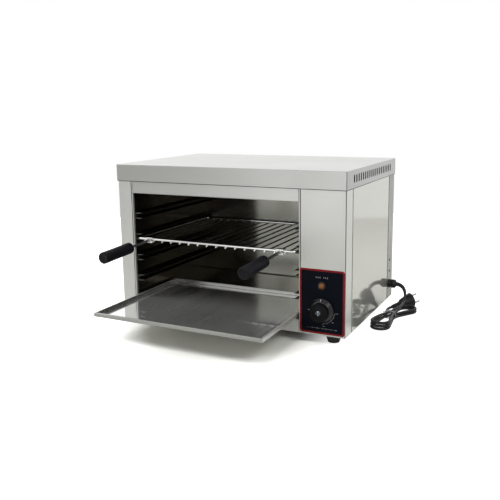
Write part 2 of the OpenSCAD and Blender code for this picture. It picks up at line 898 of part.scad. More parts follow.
module thermostat_body() {
    color("ivory") difference() {
        union() {
            block_between([column_mid - plate_half[0], inner_front, knob_z - plate_half[1]],
                [column_mid + plate_half[0], stat_y0, knob_z + plate_half[1]]);
            block_between([column_mid - stat_half[0], stat_y0 - fine, knob_z - stat_half[1]],
                [column_mid + stat_half[0], stat_y1, knob_z + stat_half[1]]);
            rod_y([column_mid, bush_front, knob_z], inner_front + fine - bush_front, bush_r);
            for (x = stat_blades) tab([column_mid + x, stat_y1, knob_z]);
        }
        rod_y([column_mid, bush_front - 1, knob_z], shaft_back + fine - bush_front + 1,
            shaft_r + shaft_play);
    }
}

module thermostat_shaft() {
    color("silver") rod_y([column_mid, shaft_front, knob_z], shaft_back - shaft_front, shaft_r);
}

module thermostat_nut() {
    color("silver") translate([column_mid, nut_front, knob_z]) difference() {
        rotate([-90, 0, 0]) cylinder(h = nut_h, r = nut_af_r, $fn = 6);
        rod_y([0, -1, 0], nut_h + 2, bush_r + fine);
    }
}

module thermostat_bulb() {
    color("peru") union() {
        rod_x(bulb_at, bulb_len + fine, bulb_r);
        tube(smooth(capillary_pts, 4), capillary_r, wire_sides);
    }
}

module bulb_clips() {
    color("silver") for (x = bulb_clip_x)
        translate([bulb_at[0] + x, bulb_at[1], roof_top]) difference() {
            union() {
                block_between([0, -bulb_r - sheet_t, 0],
                    [bulb_clip_w, bulb_r + sheet_t, 2 * bulb_r + sheet_t]);
                block_between([0, -bulb_r - bulb_clip_foot, 0],
                    [bulb_clip_w, bulb_r + bulb_clip_foot, sheet_t]);
            }
            block_between([-1, -bulb_r - bush_play, -1],
                [bulb_clip_w + 1, bulb_r + bush_play, 2 * bulb_r + bush_play]);
        }
}

module knob_body() {
    r = knob_d / 2;
    reach = knob_back - knob_face;
    recess = knob_back - knob_recess_y;
    bore_end = knob_back - shaft_front + fine;
    color([0.1, 0.1, 0.1]) translate([column_mid, knob_back, knob_z]) difference() {
        rotate([90, 0, 0]) rotate_extrude() polygon(concat(
            [[0, 0], [hub_r, 0], [hub_r, knob_back - skirt_front], [r, knob_back - skirt_front],
                [r, reach - knob_round]],
            [for (a = [22.5 : 22.5 : 90]) [r + knob_round * (cos(a) - 1),
                reach + knob_round * (sin(a) - 1)]],
            [[0, reach]]));
        rod_y([0, -recess, 0], recess + 1, knob_recess_r);
        rod_y([0, -bore_end, 0], bore_end, shaft_r + fine);
    }
}

module knob_skirt() {
    reach = knob_back - skirt_front;
    inner = hub_r + bush_play;
    color([0.16, 0.16, 0.18]) turned_y([column_mid, knob_back, knob_z],
        [[inner, 0], [skirt_d / 2 - skirt_bevel, 0], [skirt_d / 2, skirt_bevel],
            [skirt_d / 2, skirt_edge], [knob_d / 2 + 2 * skirt_bevel, reach - skirt_bevel],
            [knob_d / 2 + skirt_bevel, reach], [inner, reach]]);
}

module knob_cap() {
    r = cap_d / 2;
    color("silver") turned_y([column_mid, knob_face, knob_z],
        [[0, 0], [r, 0], [r, cap_h - cap_bevel], [r - cap_bevel, cap_h], [0, cap_h]]);
}

// ---- Electrics ----

module terminal_block() {
    pole_w = block[0] / poles;
    color("beige") translate(block_at) difference() {
        cube(block);
        for (i = [0 : poles - 1], y = [pole_front, pole_back])
            rod_z([pole_w * (i + 0.5), y, block[2] - pole_hole_h], pole_hole_h + through,
                pole_hole_r);
        for (i = [1 : poles - 1])
            block_between([pole_w * i - block_slit[0] / 2, -through, block[2] - block_slit[1]],
                [pole_w * i + block_slit[0] / 2, block[1] + through, block[2] + through]);
    }
}

// Wires: three cores from the gland, feeds to the thermostat, lamp and elements, and the earth
function core_start(i) = [gland_inner - core_gap, gland_y, gland_z]
    + core_ring * [0, cos(120 * i), sin(120 * i)];
function pole_at(i, y) = block_at + [block[0] * (i + 0.5) / poles, y, block[2] - pole_hole_h];
function pole_way(i, y, lean) = [for (k = [0 : 2])
    pole_at(i, y) + [0, k == 2 ? lean : 0, k * pole_rise]];
function reversed(list) = [for (k = [len(list) - 1 : -1 : 0]) list[k]];
function tab_way(x, y, z) = [[column_mid + x, y, z], [column_mid + x, y + tab_rise, z]];
function bus_point(i, side) = [bus_x, element_y(i) + side * element_gap / 2, element_z];
blade_y = stat_y1 + blade[1];
lamp_blade_y = lamp_back + blade[1];
bus_x = element_tail_x + terminal_len + wire_r;
feed_end = bus_point(0, -1);
return_end = bus_point(element_count - 1, 1);
block_top = block_at + [0, block[1], block[2]];
loom = [
    concat([core_start(0), core_start(0) + [-14, -4, 0], block_top + [0.9 * block[0], 14, 24]],
        reversed(pole_way(2, pole_back, 3))),
    concat([core_start(1), core_start(1) + [-16, 0, 4], block_top + [0.5 * block[0], 14, 27]],
        reversed(pole_way(1, pole_back, 3))),
    [core_start(2), core_start(2) + [-14, -2, -8], stud_at + [8, 3, stud_h + 2],
        stud_at + [2, 0, stud_h + 6], stud_at + [0, 0, stud_h]],
    concat(pole_way(2, pole_front, -5), [block_at + [block[0], -loom_out, block[2] + 12],
        [column_mid + loom_side, lamp_blade_y + loom_out, block_at[2] + 2 * block[2]]],
        reversed(tab_way(stat_blades[2], blade_y, knob_z))),
    concat(tab_way(stat_blades[1], blade_y, knob_z),
        [[column_mid + 2, blade_y + tab_rise, (knob_z + lamp_z) / 2]],
        reversed(tab_way(lamp_blades[1], lamp_blade_y, lamp_z))),
    concat(tab_way(stat_blades[0], blade_y, knob_z),
        [[column_mid - loom_side, lamp_blade_y + tab_rise, lamp_z + loom_out],
        [column_mid - loom_side, feed_end[1], element_z - feed_drop],
        feed_end + [6, -8, -12], feed_end]),
    concat(pole_way(1, pole_front, -5), [block_at + [0.4 * block[0], -24, 3 * block[2]],
        [column_mid - loom_side - 2, return_end[1], element_z - return_drop],
        return_end + [8, 6, -20], return_end]),
    [for (i = [0 : element_count - 1], side = [-1, 1]) bus_point(i, side)]
];

module wiring_loom() {
    color("firebrick") union() for (route = loom) tube(smooth(route, 4), wire_r, wire_sides);
}

module earth_stud() {
    color("goldenrod") translate(stud_at) union() {
        rod_z([0, 0, 0], stud_h, stud_r);
        for (z = [0, stud_nut_h + stud_nut_gap]) translate([0, 0, z])
            cylinder(h = stud_nut_h, r = stud_nut_r, $fn = 6);
    }
}

// ---- Gland, feet and screws ----

module gland_bore() {
    rod_x([gland_inner - 1, gland_y, gland_z], dome_end - gland_inner + 2, cord_r + cord_play);
}

module gland_body() {
    color([0.1, 0.1, 0.1]) difference() {
        union() {
            rod_x([gland_inner, gland_y, gland_z], side_x - gland_inner + fine, thread_r);
            rod_x([side_x, gland_y, gland_z], collar_len, gland_r);
            rod_x([side_x + collar_len - fine, gland_y, gland_z], waist_len + fine, waist_r);
        }
        gland_bore();
    }
}

module gland_dome() {
    color([0.1, 0.1, 0.1]) difference() {
        turned_x([dome_x, gland_y, gland_z], concat([[0, 0], [gland_r - dome_bevel, 0],
            [gland_r, dome_bevel]],
            [for (a = [0 : 15 : 90]) [gland_r + dome_round * (cos(a) - 1),
                dome_len + dome_round * (sin(a) - 1)]],
            [[0, dome_len]]));
        gland_bore();
    }
}

module gland_locknut() {
    color([0.1, 0.1, 0.1]) difference() {
        translate([locknut_x - locknut_t, gland_y, gland_z]) rotate([0, 90, 0])
            cylinder(h = locknut_t, r = thread_r + locknut_rim, $fn = 6);
        rod_x([locknut_x - locknut_t - 1, gland_y, gland_z], locknut_t + 2, thread_r + fine);
    }
}

module foot(x, y) {
    top_r = foot_top_d / 2;
    base_r = foot_base_d / 2;
    color([0.08, 0.08, 0.08]) translate([x, y, 0]) difference() {
        rotate_extrude() polygon([[0, 0], [base_r - foot_edge, 0], [base_r, foot_edge],
            [top_r, foot_h - 3 * foot_edge], [top_r, foot_h - foot_edge],
            [top_r - foot_edge, foot_h], [0, foot_h]]);
        rod_z([0, 0, -1], foot_recess_h + 1, foot_recess_r);
        rod_z([0, 0, foot_h - foot_screw_len], foot_screw_len + 1,
            foot_screw_r + foot_screw_play);
    }
}

module foot_front_left() { foot(-foot_x, foot_y0); }
module foot_front_right() { foot(foot_x, foot_y0); }
module foot_rear_left() { foot(-foot_x, foot_y1); }
module foot_rear_right() { foot(foot_x, foot_y1); }

module foot_screws() {
    color("silver") for (x = [-foot_x, foot_x], y = [foot_y0, foot_y1])
        translate([x, y, foot_h + sheet_t]) union() {
            rod_z([0, 0, -sheet_t - foot_screw_len + 1], foot_screw_len + sheet_t, foot_screw_r);
            rod_z([0, 0, 0], foot_screw_head_h, foot_screw_head_r);
        }
}

// A pan-head screw whose head points along +z, with the head's seat at z = 0
module pan_screw(shank) {
    rotate_extrude() polygon([[0, -shank], [screw_r - 0.4, -shank], [screw_r, 0.4 - shank],
        [screw_r, 0], [screw_head_r, 0], [screw_head_r, screw_head_h / 2],
        [screw_head_r * 0.7, screw_head_h], [0, screw_head_h]]);
}

module side_screws() {
    color("silver") for (z = side_screw_z)
        translate([side_x, side_screw_y, z]) rotate([0, 90, 0]) pan_screw(side_screw_len);
}

module back_screws() {
    color("silver") for (x = back_screw_x)
        translate([x, back_y, back_screw_z]) rotate([-90, 0, 0]) pan_screw(back_screw_len);
}

module cover_screws() {
    color("silver") for (x = back_screw_x)
        translate([x, cover_d, cover_screw_z]) rotate([-90, 0, 0]) pan_screw(back_screw_len);
}

// ---- Mains lead ----

module cord_lead() {
    color([0.07, 0.07, 0.08]) tube(smooth(lead_pts, lead_steps), cord_r, lead_sides);
}

module hank_lobe(at, r, y) {
    hull() {
        translate(at) circle(r = r, $fn = 32);
        translate([waist_x[0], y]) square([waist_x[1] - waist_x[0], 1]);
    }
}

module cord_hank() {
    color([0.07, 0.07, 0.08]) translate([0, 0, tie_t]) linear_extrude(height = hank_h) union() {
        translate([waist_x[0], waist_y[0]])
            square([waist_x[1] - waist_x[0], waist_y[1] - waist_y[0]]);
        hank_lobe(hank_front, hank_front_r, waist_y[0]);
        hank_lobe(hank_rear, hank_rear_r, waist_y[1] - 1);
        hank_lobe(hank_tail, hank_tail_r, waist_y[1] - 1);
    }
}

module cord_tie() {
    mid = (waist_y[0] + waist_y[1]) / 2;
    color("darkgray") difference() {
        block_between([waist_x[0] - tie_t, mid - tie_w / 2, 0],
            [waist_x[1] + tie_t, mid + tie_w / 2, hank_h + 2 * tie_t]);
        block_between([waist_x[0], mid - tie_w, tie_t],
            [waist_x[1], mid + tie_w, hank_h + tie_t]);
    }
}

// Local z points out of the plug's face
module at_plug() {
    translate(plug_at) rotate([0, 90 - plug_tilt, plug_heading]) rotate([0, 0, plug_roll])
        children();
}

module plug_body() {
    color([0.08, 0.08, 0.09]) at_plug() rotate_extrude() polygon(plug_profile);
}

module plug_pins() {
    color("silver") at_plug() for (side = [-1, 1])
        translate([side * pin_pitch / 2, 0, 0]) rotate_extrude() polygon([[0, 0], [pin_d / 2, 0],
            [pin_d / 2, pin_len - 1.2], [pin_d / 2 - 1.2, pin_len], [0, pin_len]]);
}

place() top_cover();
place() front_left_post();
place() front_top_rail();
place() front_sill();
place() control_panel();
place() left_side_panel();
place() right_side_panel();
place() back_panel();
place() base_pan();
place() left_liner();
place() right_liner();
place() back_liner();
place() cavity_floor();
place() cavity_roof();
place() left_guides();
place() right_guides();
place() element_front();
place() element_middle();
place() element_rear();
place() element_hangers();
place() element_bushes();
place() rack_frame();
place() rack_wires();
place() handle_rods();
place() handle_clips();
place() left_grip();
place() right_grip();
place() drip_tray();
place() control_label();
place() label_border();
place() lamp_holder();
place() lamp_lens();
place() thermostat_body();
place() thermostat_shaft();
place() thermostat_nut();
place() thermostat_bulb();
place() bulb_clips();
place() knob_body();
place() knob_skirt();
place() knob_cap();
place() terminal_block();
place() wiring_loom();
place() earth_stud();
place() gland_body();
place() gland_dome();
place() gland_locknut();
place() foot_front_left();
place() foot_front_right();
place() foot_rear_left();
place() foot_rear_right();
place() foot_screws();
place() side_screws();
place() back_screws();
place() cover_screws();
place() cord_lead();
place() cord_hank();
place() cord_tie();
place() plug_body();
place() plug_pins();
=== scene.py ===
import math

import bmesh
import bpy
import numpy as np
from mathutils import Matrix, Vector


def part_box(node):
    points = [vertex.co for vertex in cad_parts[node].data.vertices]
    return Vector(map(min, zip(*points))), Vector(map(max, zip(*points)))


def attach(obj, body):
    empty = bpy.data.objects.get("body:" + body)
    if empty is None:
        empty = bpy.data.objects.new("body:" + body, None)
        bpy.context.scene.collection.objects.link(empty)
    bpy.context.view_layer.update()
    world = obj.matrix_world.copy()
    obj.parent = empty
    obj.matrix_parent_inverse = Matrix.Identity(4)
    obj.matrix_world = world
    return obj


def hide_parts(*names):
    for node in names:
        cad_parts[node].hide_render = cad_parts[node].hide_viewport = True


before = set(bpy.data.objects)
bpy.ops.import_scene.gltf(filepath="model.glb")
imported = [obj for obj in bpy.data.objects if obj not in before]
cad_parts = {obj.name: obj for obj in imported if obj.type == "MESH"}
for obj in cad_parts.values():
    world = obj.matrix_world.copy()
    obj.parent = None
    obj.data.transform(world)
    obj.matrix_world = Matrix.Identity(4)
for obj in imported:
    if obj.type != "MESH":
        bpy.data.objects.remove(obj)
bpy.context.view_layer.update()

# Lengths are in millimetres in the work frame of the part's source: x = 0 at the middle of the
# cover, y = 0 at the cover's front face, z = 0 on the table. at() turns them into metres.
MM = 0.001
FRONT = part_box("top_cover")[0].y
RIGHT, AHEAD, BACKWARD, UP = (1, 0, 0), (0, -1, 0), (0, 1, 0), (0, 0, 1)


def at(x, y, z):
    return Vector((x * MM, y * MM + FRONT, z * MM))


def in_mm(point):
    return point.x / MM, (point.y - FRONT) / MM, point.z / MM


def mm_box(node):
    """A CAD node's low and high corners in work millimetres."""
    return [in_mm(corner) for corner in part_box(node)]


def middle(node):
    """The middle of a CAD node's box, and half its width."""
    low, high = mm_box(node)
    return [(a + b) / 2 for a, b in zip(low, high)], (high[0] - low[0]) / 2


def new_object(name, data):
    obj = bpy.data.objects.new(name, data)
    bpy.context.scene.collection.objects.link(obj)
    return obj


# ---- Camera ----

CAMERA_AT = Vector((0.72117, -1.39225, 0.50428))
CAMERA_TURN, CAMERA_PITCH, CAMERA_ROLL = 26.092, 10.019, -0.684
LENS, SHIFT_X, SHIFT_Y = 47.97, -0.0188, -0.0501


def make_camera():
    turn, pitch, roll = (math.radians(a) for a in (CAMERA_TURN, CAMERA_PITCH, CAMERA_ROLL))
    back = Vector((math.sin(turn) * math.cos(pitch), -math.cos(turn) * math.cos(pitch),
                   math.sin(pitch)))
    right = Vector((math.cos(turn), math.sin(turn), 0))
    up = right.cross(-back)
    data = bpy.data.cameras.new("camera")
    data.sensor_width = 36
    data.lens = LENS
    data.shift_x, data.shift_y = SHIFT_X, SHIFT_Y
    data.clip_start = 0.05
    camera = new_object("camera", data)
    axes = Matrix((right * math.cos(roll) + up * math.sin(roll),
                   up * math.cos(roll) - right * math.sin(roll), back)).transposed()
    camera.matrix_world = Matrix.Translation(CAMERA_AT) @ axes.to_4x4()
    bpy.context.scene.camera = camera


make_camera()


# ---- Shader nodes ----

def connect(tree, node, inputs):
    """Sets a node's inputs: each is a number, a colour or another node's output."""
    for socket, value in inputs.items():
        if isinstance(value, bpy.types.NodeSocket):
            tree.links.new(value, node.inputs[socket])
        else:
            node.inputs[socket].default_value = value


def add_node(tree, kind, inputs=None, **settings):
    node = tree.nodes.new("ShaderNode" + kind)
    for name, value in settings.items():
        setattr(node, name, value)
    connect(tree, node, inputs or {})
    return node


def new_material(name):
    material = bpy.data.materials.new(name)
    material.use_nodes = True
    tree = material.node_tree
    return material, tree, tree.nodes["Principled BSDF"]


def noise(tree, scale, detail=3.0, stretch=(1, 1, 1), roughness=0.5):
    """Noise over the object's own coordinates, in metres, stretched along an axis."""
    coords = add_node(tree, "TexCoord").outputs["Object"]
    mapping = add_node(tree, "Mapping", {"Vector": coords, "Scale": stretch})
    return add_node(tree, "TexNoise", {"Vector": mapping.outputs["Vector"], "Scale": scale,
                                       "Detail": detail, "Roughness": roughness}).outputs["Fac"]


def remap(tree, value, low, high, from_low=0.3, from_high=0.7, curve="LINEAR"):
    return add_node(tree, "MapRange", {"Value": value, "From Min": from_low, "To Min": low,
                                       "From Max": from_high, "To Max": high},
                    interpolation_type=curve).outputs["Result"]


def smooth_step(tree, value, start, end):
    return remap(tree, value, 0.0, 1.0, start, end, "SMOOTHSTEP")


def combine(tree, operation, *values):
    return add_node(tree, "Math", dict(enumerate(values)), operation=operation).outputs[0]


def mix(tree, factor, first, second, kind="FLOAT"):
    return add_node(tree, "Mix", {"Factor": factor, "A": first, "B": second},
                    data_type=kind).outputs["Result"]


def blend_colors(tree, factor, first, second):
    return mix(tree, factor, (*first, 1), (*second, 1), "RGBA")


def add_bump(tree, shader, height, strength, distance):
    bump = add_node(tree, "Bump", {"Height": height, "Strength": strength, "Distance": distance})
    connect(tree, shader, {"Normal": bump.outputs["Normal"]})


# ---- Materials ----

X, Y, Z = 0, 1, 2
GRAIN_SCALE, GRAIN_STRETCH, GRAIN_DEPTH = 2600.0, 0.006, 0.00008
MOULD_DEPTH = 0.0002


def steel(name, color, rough, grain_axis, metallic=1.0, haze=0.5, brushed=0.0,
          grain=0.04, smudge=0.02, edge=1.0):
    """Stainless sheet: a fine long grain that scatters light across itself, under a soft haze.

    Below 1, metallic leaves some plain scatter, as a brushed sheet has, and edge dims the
    gloss at a glancing angle, as baked-on grime does."""
    material, tree, shader = new_material(name)
    stretch = [1.0, 1.0, 1.0]
    stretch[grain_axis] = GRAIN_STRETCH
    fine = noise(tree, GRAIN_SCALE, 2.0, stretch, 0.6)
    patches = noise(tree, 7.0)
    dark = [c * (1 - smudge * 2) for c in color]
    connect(tree, shader, {
        "Base Color": blend_colors(tree, remap(tree, patches, 0, 1), dark, color),
        "Roughness": combine(tree, "ADD", remap(tree, fine, rough * 0.85, rough * 1.15),
                             remap(tree, patches, smudge, -smudge)),
        "Metallic": metallic, "Coat Weight": haze, "Coat Roughness": 0.55,
        "Specular Tint": (edge, edge, edge, 1)})
    if brushed:
        tangent = add_node(tree, "Tangent", direction_type="RADIAL", axis="XYZ"[grain_axis])
        connect(tree, shader, {"Anisotropic": brushed, "Tangent": tangent.outputs["Tangent"]})
    add_bump(tree, shader, fine, grain, GRAIN_DEPTH)
    return material


def moulded(name, color, rough, grain=0.08, scale=1600.0, worn=None, specular=0.5):
    """Moulded plastic or rubber: fine texture, with faint wear towards a second colour."""
    material, tree, shader = new_material(name)
    texture = noise(tree, scale, 2.0)
    wear = noise(tree, 60.0, 4.0)
    worn = worn or [min(1.0, c * 1.35 + 0.004) for c in color]
    connect(tree, shader, {
        "Base Color": blend_colors(tree, remap(tree, wear, 0, 1, 0.45, 0.8), color, worn),
        "Roughness": remap(tree, wear, rough - 0.06, rough + 0.08),
        "Specular IOR Level": specular})
    add_bump(tree, shader, texture, grain, MOULD_DEPTH)
    return material


def swirled(name, first, second, scale, stretch, settings, bump):
    """Clear plastic whose colour swirls between two."""
    material, tree, shader = new_material(name)
    swirl = noise(tree, scale, 2.0, stretch)
    connect(tree, shader, {**settings, "Base Color": blend_colors(
        tree, remap(tree, swirl, 0, 1), first, second)})
    if bump:
        add_bump(tree, shader, swirl, bump, MOULD_DEPTH)
    return material


SATIN = (0.455, 0.46, 0.438)
# colour, roughness, grain axis, then metallic, haze, brushed, grain, smudge and edge
STEELS = {
    "satin_x": ((0.375, 0.375, 0.362), 0.35, X, 0.78, 0.4, 0.85),
    "satin_y": (SATIN, 0.38, Y, 0.75, 0.5, 0.5),
    "satin_z": (SATIN, 0.40, Z, 0.75, 0.5, 0.3),
    # painted shade: a dark steel for the rounds of upright folds
    "bend": ((0.13, 0.13, 0.125), 0.16, Z, 0.9, 0.2),
    "rail": ((0.415, 0.417, 0.402), 0.35, X, 0.78, 0.4, 0.85),
    # painted highlight: a lighter copy of the cover's steel for its top
    "lid": ((0.57, 0.57, 0.555), 0.35, X, 0.78, 0.4, 0.85),
    # painted shade: a darker copy of the cover's steel for the sides of its rim
    "rim_side": ((0.43, 0.43, 0.418), 0.35, Y, 0.78, 0.4, 0.5),
    # painted highlight: a lighter copy of the steel for the side strip of the posts
    "flange": ((0.66, 0.67, 0.64), 0.36, Z, 0.75, 0.5, 0.3),
    "bright": ((0.595, 0.595, 0.545), 0.09, Z, 0.68, 0.6, 0, 0.01, 0.01),
    "liner": ((0.18, 0.18, 0.162), 0.17, X, 1.0, 0.0, 0.92, 0.02),
    # painted shade: the side liners take a darker copy of the liner steel
    "dark_liner": ((0.125, 0.112, 0.088), 0.14, Y, 0.97, 0.0, 0, 0.02, 0.02, 0.40),
    "cavity_floor": ((0.36, 0.36, 0.335), 0.11, X, 1.0, 0.0, 0, 0.02),
    "guide": ((0.09, 0.086, 0.076), 0.20, Y, 0.95, 0.1, 0, 0.04, 0.02, 0.2),
    # painted highlight: a lighter steel for the rounded front ends of the guides
    "guide_tip": ((0.14, 0.135, 0.125), 0.32, Y, 0.85, 0.2),
    "tray": ((0.80, 0.80, 0.785), 0.055, X, 0.87, 0.1, 0, 0.01, 0.01),
    "tray_rim": ((0.31, 0.31, 0.298), 0.26, X, 0.85, 0.3),
    # painted highlight: a lighter steel for the tray's sides and the hem beside them
    "hem": ((0.60, 0.60, 0.58), 0.36, Y, 0.60, 0.3),
    "sheath": ((0.16, 0.145, 0.13), 0.50, X),
    "plated": ((0.62, 0.62, 0.61), 0.10, X, 1.0, 0.0),
    "stem": ((0.34, 0.34, 0.34), 0.20, Y, 0.97, 0.3),
    "wires": ((0.11, 0.11, 0.105), 0.24, Y, 0.98, 0.0, 0, 0.04, 0.02, 0.3),
    "badge": ((0.20, 0.235, 0.27), 0.22, Z, 0.95, 0.2),
    "copper": ((0.72, 0.38, 0.24), 0.30, X),
    "brass": ((0.72, 0.55, 0.24), 0.28, Z),
    "screw": ((0.40, 0.40, 0.40), 0.24, Z, 0.95, 0.3),
    "side_screw": ((0.10, 0.10, 0.10), 0.30, Z, 0.95, 0.3),
}
# colour, roughness, then grain, grain scale, worn colour and specular level
MOULDED = {
    # painted shade: the near-black of the cover's inner faces, behind the vent slots
    "soot": ((0.006, 0.006, 0.006), 0.80, 0.10, 900.0, (0.012, 0.011, 0.010), 0.05),
    "ceramic": ((0.80, 0.77, 0.68), 0.60, 0.10),
    "grip": ((0.0045, 0.0045, 0.0065), 0.45, 0.12, 1300.0, (0.008, 0.008, 0.011), 0.12),
    "navy": ((0.0016, 0.0028, 0.0066), 0.34, 0.02, 900.0, (0.002, 0.0035, 0.008), 0.05),
    "red": ((0.20, 0.008, 0.012), 0.34, 0.02, 900.0, None, 0.12),
    "print": ((0.30, 0.30, 0.33), 0.50, 0.02),
    "black": ((0.005, 0.005, 0.006), 0.38, 0.08, 1600.0, None, 0.28),
    "knob_matte": ((0.002, 0.002, 0.0028), 0.48, 0.10, 1600.0, (0.005, 0.005, 0.006), 0.10),
    "knob_gloss": ((0.0015, 0.0015, 0.003), 0.13, 0.02, 900.0, (0.003, 0.003, 0.005), 0.35),
    "insulation": ((0.34, 0.035, 0.025), 0.50),
    "rubber": ((0.010, 0.010, 0.010), 0.62, 0.20, 900.0, (0.024, 0.023, 0.022), 0.3),
    "cord": ((0.005, 0.005, 0.006), 0.34, 0.10, 700.0, None, 0.28),
    "plug": ((0.005, 0.005, 0.006), 0.34, 0.06, 1100.0, None, 0.28),
}
MATERIALS = {
    "lens": swirled("amber_lens", (0.16, 0.048, 0.003), (0.30, 0.11, 0.010), 700.0, (1, 1, 1),
                    {"Roughness": 0.18, "Specular IOR Level": 0.3}, 0.1),
    "tie": swirled("clear_tie", (0.34, 0.34, 0.35), (0.62, 0.62, 0.63), 500.0, (1, 0.1, 1),
                   {"Roughness": 0.22, "Alpha": 0.75}, 0.0),
}
for make, rows in ((steel, STEELS), (moulded, MOULDED)):
    for key, row in rows.items():
        MATERIALS[key] = make(key, *row)


# ---- Mesh helpers ----

def finish_piece(obj, material, replaced=(), smooth=35.0, body="casing"):
    """Gives a new piece its material and its body, and hides the CAD nodes it stands for."""
    mesh = obj.data
    if obj.type == "MESH":
        mesh.shade_smooth()
        mesh.set_sharp_from_angle(angle=math.radians(smooth))
    mesh.materials.clear()
    mesh.materials.append(MATERIALS[material])
    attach(obj, body)
    if replaced:
        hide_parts(*replaced)
    return obj


def paint(obj, materials, choose):
    """More materials: choose(middle in mm, normal) gives a face's number, 0 for the first."""
    for name in materials:
        obj.data.materials.append(MATERIALS[name])
    for face in obj.data.polygons:
        face.material_index = choose(in_mm(face.center), face.normal)


def from_bmesh(name, bm):
    mesh = bpy.data.meshes.new(name)
    bm.to_mesh(mesh)
    bm.free()
    return new_object(name, mesh)


def object_from(name, verts, faces):
    mesh = bpy.data.meshes.new(name)
    mesh.from_pydata([tuple(v) for v in verts], [], faces)
    bm = bmesh.new()
    bm.from_mesh(mesh)
    bpy.data.meshes.remove(mesh)
    bmesh.ops.remove_doubles(bm, verts=bm.verts, dist=1e-7)
    bmesh.ops.recalc_face_normals(bm, faces=bm.faces)
    return from_bmesh(name, bm)


def loft_faces(rings, n, closed=False, caps=True):
    """Quads between rings of n points. Closed joins the last ring to the first."""
    faces = []
    for s in range(rings if closed else rings - 1):
        a, b = s * n, (s + 1) % rings * n
        faces += [(a + k, a + (k + 1) % n, b + (k + 1) % n, b + k) for k in range(n)]
    if caps and not closed:
        faces += [tuple(range(n)), tuple(range((rings - 1) * n, rings * n))[::-1]]
    return faces


def joined(name, objects):
    """One object that holds all the meshes. The objects are removed."""
    bm = bmesh.new()
    for obj in objects:
        part = obj.data.copy()
        part.transform(obj.matrix_world)
        bm.from_mesh(part)
        bpy.data.meshes.remove(part)
        bpy.data.objects.remove(obj)
    return from_bmesh(name, bm)


def evaluated_mesh(obj):
    bpy.context.view_layer.update()
    graph = bpy.context.evaluated_depsgraph_get()
    return bpy.data.meshes.new_from_object(obj.evaluated_get(graph), depsgraph=graph)


def applied(obj):
    """Bakes the object's modifiers into its mesh."""
    mesh = evaluated_mesh(obj)
    obj.modifiers.clear()
    obj.data = mesh
    return obj


def cut(obj, cutters):
    """Cuts closed meshes out of the object."""
    tool = joined("cutter", cutters)
    modifier = obj.modifiers.new("cut", "BOOLEAN")
    modifier.object = tool
    modifier.solver = "EXACT"
    applied(obj)
    bpy.data.objects.remove(tool)


def soften(obj, width, angle=60.0):
    """Rounds the sharp edges and keeps the flat faces flat."""
    bevel = obj.modifiers.new("bevel", "BEVEL")
    bevel.width = width * MM
    bevel.segments = 2
    bevel.limit_method = "ANGLE"
    bevel.angle_limit = math.radians(angle)
    bevel.miter_outer = "MITER_ARC"
    obj.modifiers.new("normals", "WEIGHTED_NORMAL").keep_sharp = True


def box_bmesh(low, high):
    bm = bmesh.new()
    bmesh.ops.create_cube(bm, size=1)
    low, high = at(*low), at(*high)
    for v in bm.verts:
        v.co = Vector([low[k] if v.co[k] < 0 else high[k] for k in range(3)])
    return bm


def round_edges(bm, edges, width, segments):
    bmesh.ops.bevel(bm, geom=edges, offset=width * MM, segments=segments, profile=0.5,
                    affect="EDGES")


def block(name, low, high, bevel=0.0, segments=3):
    bm = box_bmesh(low, high)
    if bevel:
        round_edges(bm, list(bm.edges), bevel, segments)
    return from_bmesh(name, bm)


def lathe(name, profile, origin, axis, sides=96):
    """Turns [radius, distance] points, in mm, about an axis through the origin."""
    axis = Vector(axis).normalized()
    side = axis.orthogonal().normalized()
    other = axis.cross(side)
    verts = []
    for radius, distance in profile:
        for k in range(sides):
            a = 2 * math.pi * k / sides
            verts.append(origin + (axis * distance + (side * math.cos(a) + other * math.sin(a))
                                   * max(radius, 0.0005)) * MM)
    return object_from(name, verts, loft_faces(len(profile), sides))


def scale_round(obj, origin, axis, factor):
    """Scales each point's radius by factor(radius, distance along the axis, angle)."""
    u, v = (k for k in range(3) if k != axis)
    for vertex in obj.data.vertices:
        p = (vertex.co - origin) / MM
        scale = factor(math.hypot(p[u], p[v]), p[axis], math.atan2(p[v], p[u]))
        if scale != 1:
            vertex.co[u] = origin[u] + p[u] * scale * MM
            vertex.co[v] = origin[v] + p[v] * scale * MM


def flute(angle, count, depth, power=2):
    return 1 - depth * (0.5 + 0.5 * math.cos(angle * count)) ** power


def sweep(cx, cy, rx, ry, angles):
    """Points on an ellipse, angles in degrees."""
    return [(cx + rx * math.cos(math.radians(a)), cy + ry * math.sin(math.radians(a)))
            for a in angles]


def arc(cx, cy, r, start, end, steps=6):
    return sweep(cx, cy, r, r, [start + (end - start) * i / steps for i in range(steps + 1)])


def round_box(x0, z0, x1, z1, r, steps=8):
    """A rectangle with round corners, from its right side counter-clockwise."""
    return (arc(x1 - r, z1 - r, r, 0, 90, steps) + arc(x0 + r, z1 - r, r, 90, 180, steps)
            + arc(x0 + r, z0 + r, r, 180, 270, steps) + arc(x1 - r, z0 + r, r, 270, 360, steps))


def offset_line(points, distance):
    """A line beside an open line, to its left, with mitred corners."""
    out = []
    for i, p in enumerate(points):
        normals = []
        for a, b in ((i - 1, i), (i, i + 1)):
            if a >= 0 and b < len(points):
                d = Vector(points[b]) - Vector(points[a])
                normals.append(Vector((-d.y, d.x)).normalized())
        n = sum(normals, Vector((0, 0))).normalized()
        out.append(tuple(Vector(p) + n * distance / max(0.2, n.dot(normals[0]))))
    return out


